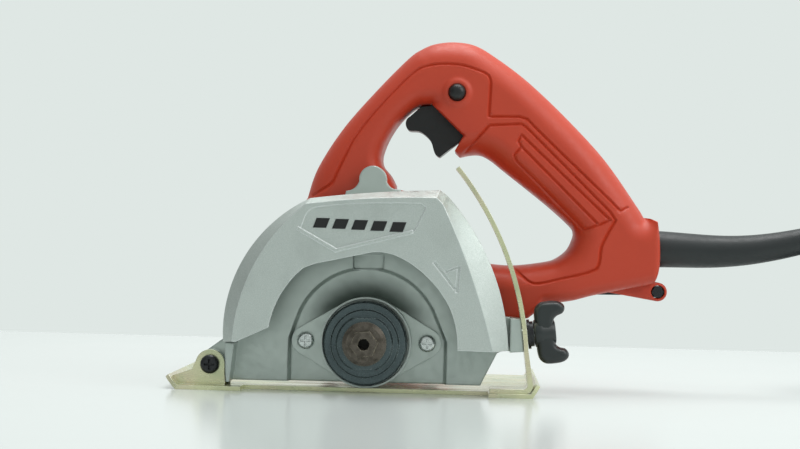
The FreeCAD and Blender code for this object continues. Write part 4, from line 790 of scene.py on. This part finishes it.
# engraved lines on the near face, drawn a little too large and then shrunk about GROOVE_CENTRE
GROOVE_CENTRE, GROOVE_SHRINK = (47.4, 72.3), 0.985
DRAWN_GROOVES = [
    smooth_run([(-28.5, 90.5), (-23.5, 93.6), (-19.4, 96.8), (-17.0, 102.0), (-10.5, 116.0), (-4.5, 124.9),
                (2.0, 133.0), (12.0, 144.0), (19.0, 150.5), (23.6, 152.8), (30.5, 154.0), (40.0, 153.8),
                (49.0, 151.3), (53.3, 149.0), (54.5, 145.5)]),
    [(54.5, 145.5), (54.0, 129.6), (68.4, 129.8), (72.0, 128.8), (80.0, 121.0), (112.0, 91.3), (117.0, 86.4),
     (120.7, 88.2)],
    [(42.8, 112.4), (54.3, 125.5), (69.4, 126.4), (71.6, 125.1), (112.3, 85.7), (114.8, 82.0)],
    smooth_run([(114.8, 82.0), (108.8, 70.2), (107.4, 61.0), (103.7, 57.5), (88.9, 53.4), (79.7, 51.2),
                (74.9, 51.9), (69.2, 56.7), (66.4, 58.8)]),
    [(69.5, 121.3), (112.2, 82.0)],
    [(69.7, 115.7), (106.9, 79.5)],
    [(67.5, 108.9), (99.9, 77.2)],
    [(69.5, 121.3), (68.2, 118.4), (69.7, 115.7), (66.3, 111.8), (67.5, 108.9)],
    [(99.9, 77.2), (106.9, 79.5), (112.2, 82.0)],
]
NEAR_GROOVES = [
    [tuple(c + (v - c) * GROOVE_SHRINK for v, c in zip(point, GROOVE_CENTRE)) for point in line]
    for line in DRAWN_GROOVES
]
GROOVE_HALF, GROOVE_DEPTH = 0.95, 0.95
LOCK_RING, LOCK_RING_SLOPE, LOCK_RING_HEIGHT = 7.6, 2.4, 1.1
SCREW_SEAT_RADIUS, SCREW_SEAT_HEIGHT = 4.2, 14.05
HANDLE_SCREWS = ((-13.0, 110.0), (16.0, 148.0), (82.0, 118.0), (108.0, 90.0), (78.0, 51.5), (127.5, 57.0))
PARTING = 0.04
WALL, RIM_WIDTH, RIM_SLOPE = 2.8, 2.4, 0.8
POCKET_ALONG, POCKET_INTO, POCKET_HALF = (-4.2, 22.4), (-8.0, 13.5), 7.6
GUARD_SEAT_X, GUARD_SEAT_Z, GUARD_SEAT_RADIUS = 129.5, 68.8, 8.7


def trigger_pocket(points):
    """True where the hollow has to leave room for the trigger."""
    start, end = np.array(EDGE_START), np.array(EDGE_END)
    along = (end - start) / np.linalg.norm(end - start)
    into = np.array([-along[1], along[0]])
    u, v = (points - start) @ along, (points - start) @ into
    beside = (u > POCKET_ALONG[0]) & (u < POCKET_ALONG[1])
    return beside & (v > POCKET_INTO[0]) & (v < POCKET_INTO[1])


def handle_hollow(points, shell, top):
    """The inner side: a flat rim on the parting plane, and a hollow behind the skin."""
    rim = smoothstep((shell.nearest(points) - RIM_WIDTH) / RIM_SLOPE)
    low = PARTING + (np.maximum(top - WALL, 1.0) - PARTING) * rim
    low = np.where(trigger_pocket(points), np.maximum(low, POCKET_HALF), low)
    across = np.abs(points[:, 1] - GUARD_SEAT_Z)
    guard = np.sqrt(np.clip(GUARD_SEAT_RADIUS**2 - across**2, 0, None))
    at_guard = (points[:, 0] > GUARD_SEAT_X) & (across < GUARD_SEAT_RADIUS)
    return np.where(at_guard, np.maximum(low, guard), low)


def near_skin(points, shell):
    """The near face, with its engraved lines and the raised ring round the lock button."""
    top = HALF - shell.edge_loss(points)
    top = top - GROOVE_DEPTH * np.clip(1 - lines_distance(points, NEAR_GROOVES) / GROOVE_HALF, 0, 1)
    ring = np.linalg.norm(points - np.array(LOCK), axis=1)
    return top + LOCK_RING_HEIGHT * smoothstep((LOCK_RING - ring) / LOCK_RING_SLOPE)


def far_skin(points, shell):
    """The far face, with a sunk seat for each screw's head."""
    top = HALF - shell.edge_loss(points)
    for centre in HANDLE_SCREWS:
        away = np.linalg.norm(points - np.array(centre), axis=1)
        top = np.where(away < SCREW_SEAT_RADIUS, np.minimum(top, SCREW_SEAT_HEIGHT), top)
    return top


outer_loop, opening_loop = handle_loops()
lock_hole = Loop().run(arc_run(LOCK, 4.0, 360, 0, 0.7), 0.5, 0.5).closed()
near = Shell([outer_loop, opening_loop, lock_hole], HALF)
for groove in NEAR_GROOVES:
    near.add_rows(groove, (-GROOVE_HALF, -0.4, 0.0, 0.4, GROOVE_HALF))
near.add_circle(LOCK, (4.6, 5.2, 5.8, 6.4, 7.0, 7.6))
red = FINISHES["red_plastic"]
near_half = near.build("handle_near_moulding", MIDDLE_Y, -1, near_skin, handle_hollow, red)
far = Shell([outer_loop, opening_loop], HALF, 1.1)
for centre in HANDLE_SCREWS:
    far.add_circle(centre, (4.1, 4.3))
far_half = far.build("handle_far_moulding", MIDDLE_Y, 1, far_skin, handle_hollow, red)
for piece, node_name in ((near_half, "handle_near_half"), (far_half, "handle_far_half")):
    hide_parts(node_name)
    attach(piece, "saw")

# the lug that holds the hexagon key, below the cord's exit
LUG, LUG_RADIUS, LUG_HALF = (135.3, 48.7), 4.4, 8.0
LUG_FROM, LUG_TO = 262, 84
KEY_HOLE_RADIUS = 3.1
lug_loop = Loop()
lug_loop.run(straight_run([(108.0, 48.6), polar(LUG, LUG_RADIUS, LUG_FROM)]), 1.5, 1.5)
lug_loop.run(arc_run(LUG, LUG_RADIUS, LUG_FROM - 360, LUG_TO, 0.7), 1.4, 1.4)
lug_loop.run(straight_run([polar(LUG, LUG_RADIUS, LUG_TO), (128.0, 54.5), (110.0, 51.5)]), 1.5, 1.5)
lug_loop.closed()
key_hole = Loop().run(arc_run(LUG, KEY_HOLE_RADIUS, 360, 0, 0.6), 0.4, 0.4).closed()
lug = Shell([lug_loop, key_hole], LUG_HALF, 0.8)
for label, side in (("near", -1), ("far", 1)):
    half = lug.build(f"key_lug_{label}", MIDDLE_Y, side, lambda p, s: LUG_HALF - s.edge_loss(p),
                     lambda p, s, top: np.full(len(p), PARTING), red)
    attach(half, "saw")


# ------------------------------------------------------------------ wing knob
CLAMP_TILT = math.radians(6.8)
PIVOT, GUIDE_OUTSIDE = (-71.1, 11.4), 145.65
KNOB_Y, KNOB_HALF = 7.0, 5.5


def on_clamp(reach, across):
    """A point in X and Z, reach along the clamp bolt from the guide's outer face."""
    along, up = GUIDE_OUTSIDE + reach, across
    return (PIVOT[0] + along * math.cos(CLAMP_TILT) - up * math.sin(CLAMP_TILT),
            PIVOT[1] + along * math.sin(CLAMP_TILT) + up * math.cos(CLAMP_TILT))


# one wing's outline, (reach, across), from the hub's inner end round to its outer end
UPPER_WING = [(4.0, 4.5), (4.0, 8.6), (4.8, 11.8), (7.2, 13.9), (11.0, 14.3), (15.2, 13.9), (17.7, 12.3),
              (18.2, 10.2), (17.0, 8.2), (14.4, 7.2), (12.8, 5.6), (12.6, 3.0)]
knob_points = [on_clamp(r, a) for r, a in UPPER_WING] + [on_clamp(r, -a) for r, a in reversed(UPPER_WING)]
knob_loop = Loop().run(smooth_run(knob_points, 0.6), 2.4, 4.2)
knob_loop.run(straight_run([knob_points[-1], knob_points[0]], 0.6), 2.0, 2.6).closed()
knob = Shell([knob_loop], KNOB_HALF, 0.6)
knob_black = moulded("knob_moulding", linear(40, 47, 47), linear(32, 38, 38), 0.34, 0.00005, 1500).material


def lathe(name, profile, start, along, material, sides=48):
    """A turned piece: (distance, radius) points about an axis from start, in millimetres."""
    along = Vector(along).normalized()
    side = along.cross(Vector((0, 1, 0))).normalized()
    up = along.cross(side)
    points, faces = [], []
    for distance, radius in profile:
        for k in range(sides):
            a = 2 * math.pi * k / sides
            points.append(Vector(start) + along * distance + (side * math.cos(a) + up * math.sin(a)) * radius)
    rows = len(profile)
    for row in range(rows - 1):
        for k in range(sides):
            a, b = row * sides + k, row * sides + (k + 1) % sides
            faces.append((a, a + sides, b + sides, b))
    faces.append(tuple(range(sides)))
    faces.append(tuple(reversed(range((rows - 1) * sides, rows * sides))))
    return mesh_object(name, points, faces, material)


HUB_PROFILE = [(3.3, 5.0), (3.5, 6.0), (4.2, 6.5), (7.0, 6.5), (7.6, 6.1), (11.9, 5.9), (12.9, 5.2),
               (13.2, 4.2), (12.6, 3.6), (12.5, 0.4)]
hub_x, hub_z = on_clamp(0.0, 0.0)
hub = lathe(
    "wing_knob_hub", HUB_PROFILE,
    (hub_x, KNOB_Y, hub_z), (math.cos(CLAMP_TILT), 0, math.sin(CLAMP_TILT)), knob_black)
wings = [
    knob.build(f"wing_knob_{label}", KNOB_Y, side, lambda p, s: KNOB_HALF - s.edge_loss(p),
               lambda p, s, top: np.full(len(p), PARTING / 2), knob_black)
    for label, side in (("near", -1), ("far", 1))
]
for piece in wings + [hub]:
    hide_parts("wing_bolt_knob")
    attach(piece, "wing_bolt")

# ------------------------------------------------------------------ plain bars on the case's panel
BAR_COUNT, BAR_WIDTH, BAR_PITCH, BAR_SLANT = 5, 6.0, 8.6, 1.6
BAR_FROM, BAR_LOW, BAR_HIGH = -24.0, 75.0, 79.4
# the row of bars falls by this share of its length
BAR_DROP = 0.03
PANEL_Y, BAR_RAISE = -13.0, 0.3


def bar_points(number):
    """One slanted bar: its outline on the panel, then the same outline raised from it."""
    left = BAR_FROM + number * BAR_PITCH
    drop = BAR_DROP * (left - BAR_FROM)
    plan = [(left, BAR_LOW - drop), (left + BAR_WIDTH, BAR_LOW - drop),
            (left + BAR_WIDTH + BAR_SLANT, BAR_HIGH - drop), (left + BAR_SLANT, BAR_HIGH - drop)]
    return [(x, y, z) for y in (PANEL_Y, PANEL_Y - BAR_RAISE) for x, z in plan]


marks, mark_faces = [], []
for number in range(BAR_COUNT):
    first = len(marks)
    marks += bar_points(number)
    mark_faces += [tuple(first + k for k in face) for face in (
        (3, 2, 1, 0), (4, 5, 6, 7), (0, 1, 5, 4), (1, 2, 6, 5), (2, 3, 7, 6), (3, 0, 4, 7))]
case_bars = mesh_object("case_bars", marks, mark_faces, FINISHES["black_plastic"])
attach(case_bars, "saw")


# ------------------------------------------------------------------ stage and light
def floor_material():
    f = Finish("white_floor", linear(214, 220, 218), 0.16)
    f.rough(f.noise(3, 2), 0.3, 0.7, 0.13, 0.2)
    return f.material


FLOOR_LEFT, FLOOR_RIGHT = -2.5, 2.7
FLOOR_FRONT, FLOOR_BACK = -2.2, 0.42
floor_mesh = bpy.data.meshes.new("floor")
corners = [(FLOOR_LEFT, FLOOR_FRONT, 0), (FLOOR_RIGHT, FLOOR_FRONT, 0), (FLOOR_RIGHT, FLOOR_BACK, 0),
           (FLOOR_LEFT, FLOOR_BACK, 0)]
floor_mesh.from_pydata(corners, [], [(0, 1, 2, 3)])
floor = bpy.data.objects.new("floor", floor_mesh)
floor.data.materials.append(floor_material())
scene.collection.objects.link(floor)


class Studio:
    """The world: a plain pale backdrop, and a studio that is brighter on the right and behind."""

    def __init__(self):
        world = bpy.data.worlds.new("studio")
        world.use_nodes = True
        scene.world = world
        self.tree = world.node_tree
        self.background = self.tree.nodes["Background"]
        direction = self.tree.nodes.new("ShaderNodeTexCoord")
        self.split = self.tree.nodes.new("ShaderNodeSeparateXYZ")
        self.tree.links.new(direction.outputs["Generated"], self.split.inputs["Vector"])

    def share(self, letter, low, high, to_low, to_high):
        """A brightness that goes smoothly from to_low to to_high along one axis of the view's direction."""
        ranged = self.tree.nodes.new("ShaderNodeMapRange")
        ranged.interpolation_type = "SMOOTHSTEP"
        self.tree.links.new(self.split.outputs[letter], ranged.inputs["Value"])
        for key, number in (("From Min", low), ("From Max", high), ("To Min", to_low), ("To Max", to_high)):
            ranged.inputs[key].default_value = number
        return ranged.outputs["Result"]

    def product(self, first, second):
        node = self.tree.nodes.new("ShaderNodeMath")
        node.operation = "MULTIPLY"
        self.tree.links.new(first, node.inputs[0])
        self.tree.links.new(second, node.inputs[1])
        return node.outputs["Value"]

    def light(self, backdrop, colour, brightness):
        """The backdrop's own colour where it is looked at, and the studio's light elsewhere."""
        seen = self.tree.nodes.new("ShaderNodeLightPath").outputs["Is Camera Ray"]
        plain = self.tree.nodes.new("ShaderNodeBackground")
        plain.inputs["Color"].default_value = backdrop
        self.background.inputs["Color"].default_value = colour
        self.tree.links.new(brightness, self.background.inputs["Strength"])
        mix = self.tree.nodes.new("ShaderNodeMixShader")
        self.tree.links.new(seen, mix.inputs["Fac"])
        self.tree.links.new(self.background.outputs["Background"], mix.inputs[1])
        self.tree.links.new(plain.outputs["Background"], mix.inputs[2])
        self.tree.links.new(mix.outputs["Shader"], self.tree.nodes["World Output"].inputs["Surface"])


studio = Studio()
left_side = studio.share("X", -0.85, -0.15, 0.46, 1.0)
right_side = studio.share("X", 0.2, 0.8, 1.0, 1.2)
behind = studio.share("Y", -0.7, 0.3, 0.72, 0.98)
studio.light(linear(223, 231, 228), linear(236, 242, 240),
             studio.product(studio.product(left_side, right_side), behind))


def softbox(name, place, aim, size, power):
    """A rectangular area light at a place, turned to its aim."""
    light = bpy.data.lights.new(name, "AREA")
    light.shape = "RECTANGLE"
    light.size, light.size_y = size
    light.energy = power
    holder = bpy.data.objects.new(name, light)
    holder.location = place
    holder.rotation_mode = "QUATERNION"
    holder.rotation_quaternion = (Vector(aim) - Vector(place)).to_track_quat("-Z", "Y")
    scene.collection.objects.link(holder)


CENTRE = (0.03, 0.03, 0.08)
softbox("key_light", (0.7, -0.35, 0.6), CENTRE, (0.45, 0.45), 1.8)
softbox("top_light", (0.1, 0.1, 0.85), CENTRE, (0.7, 0.5), 4.6)
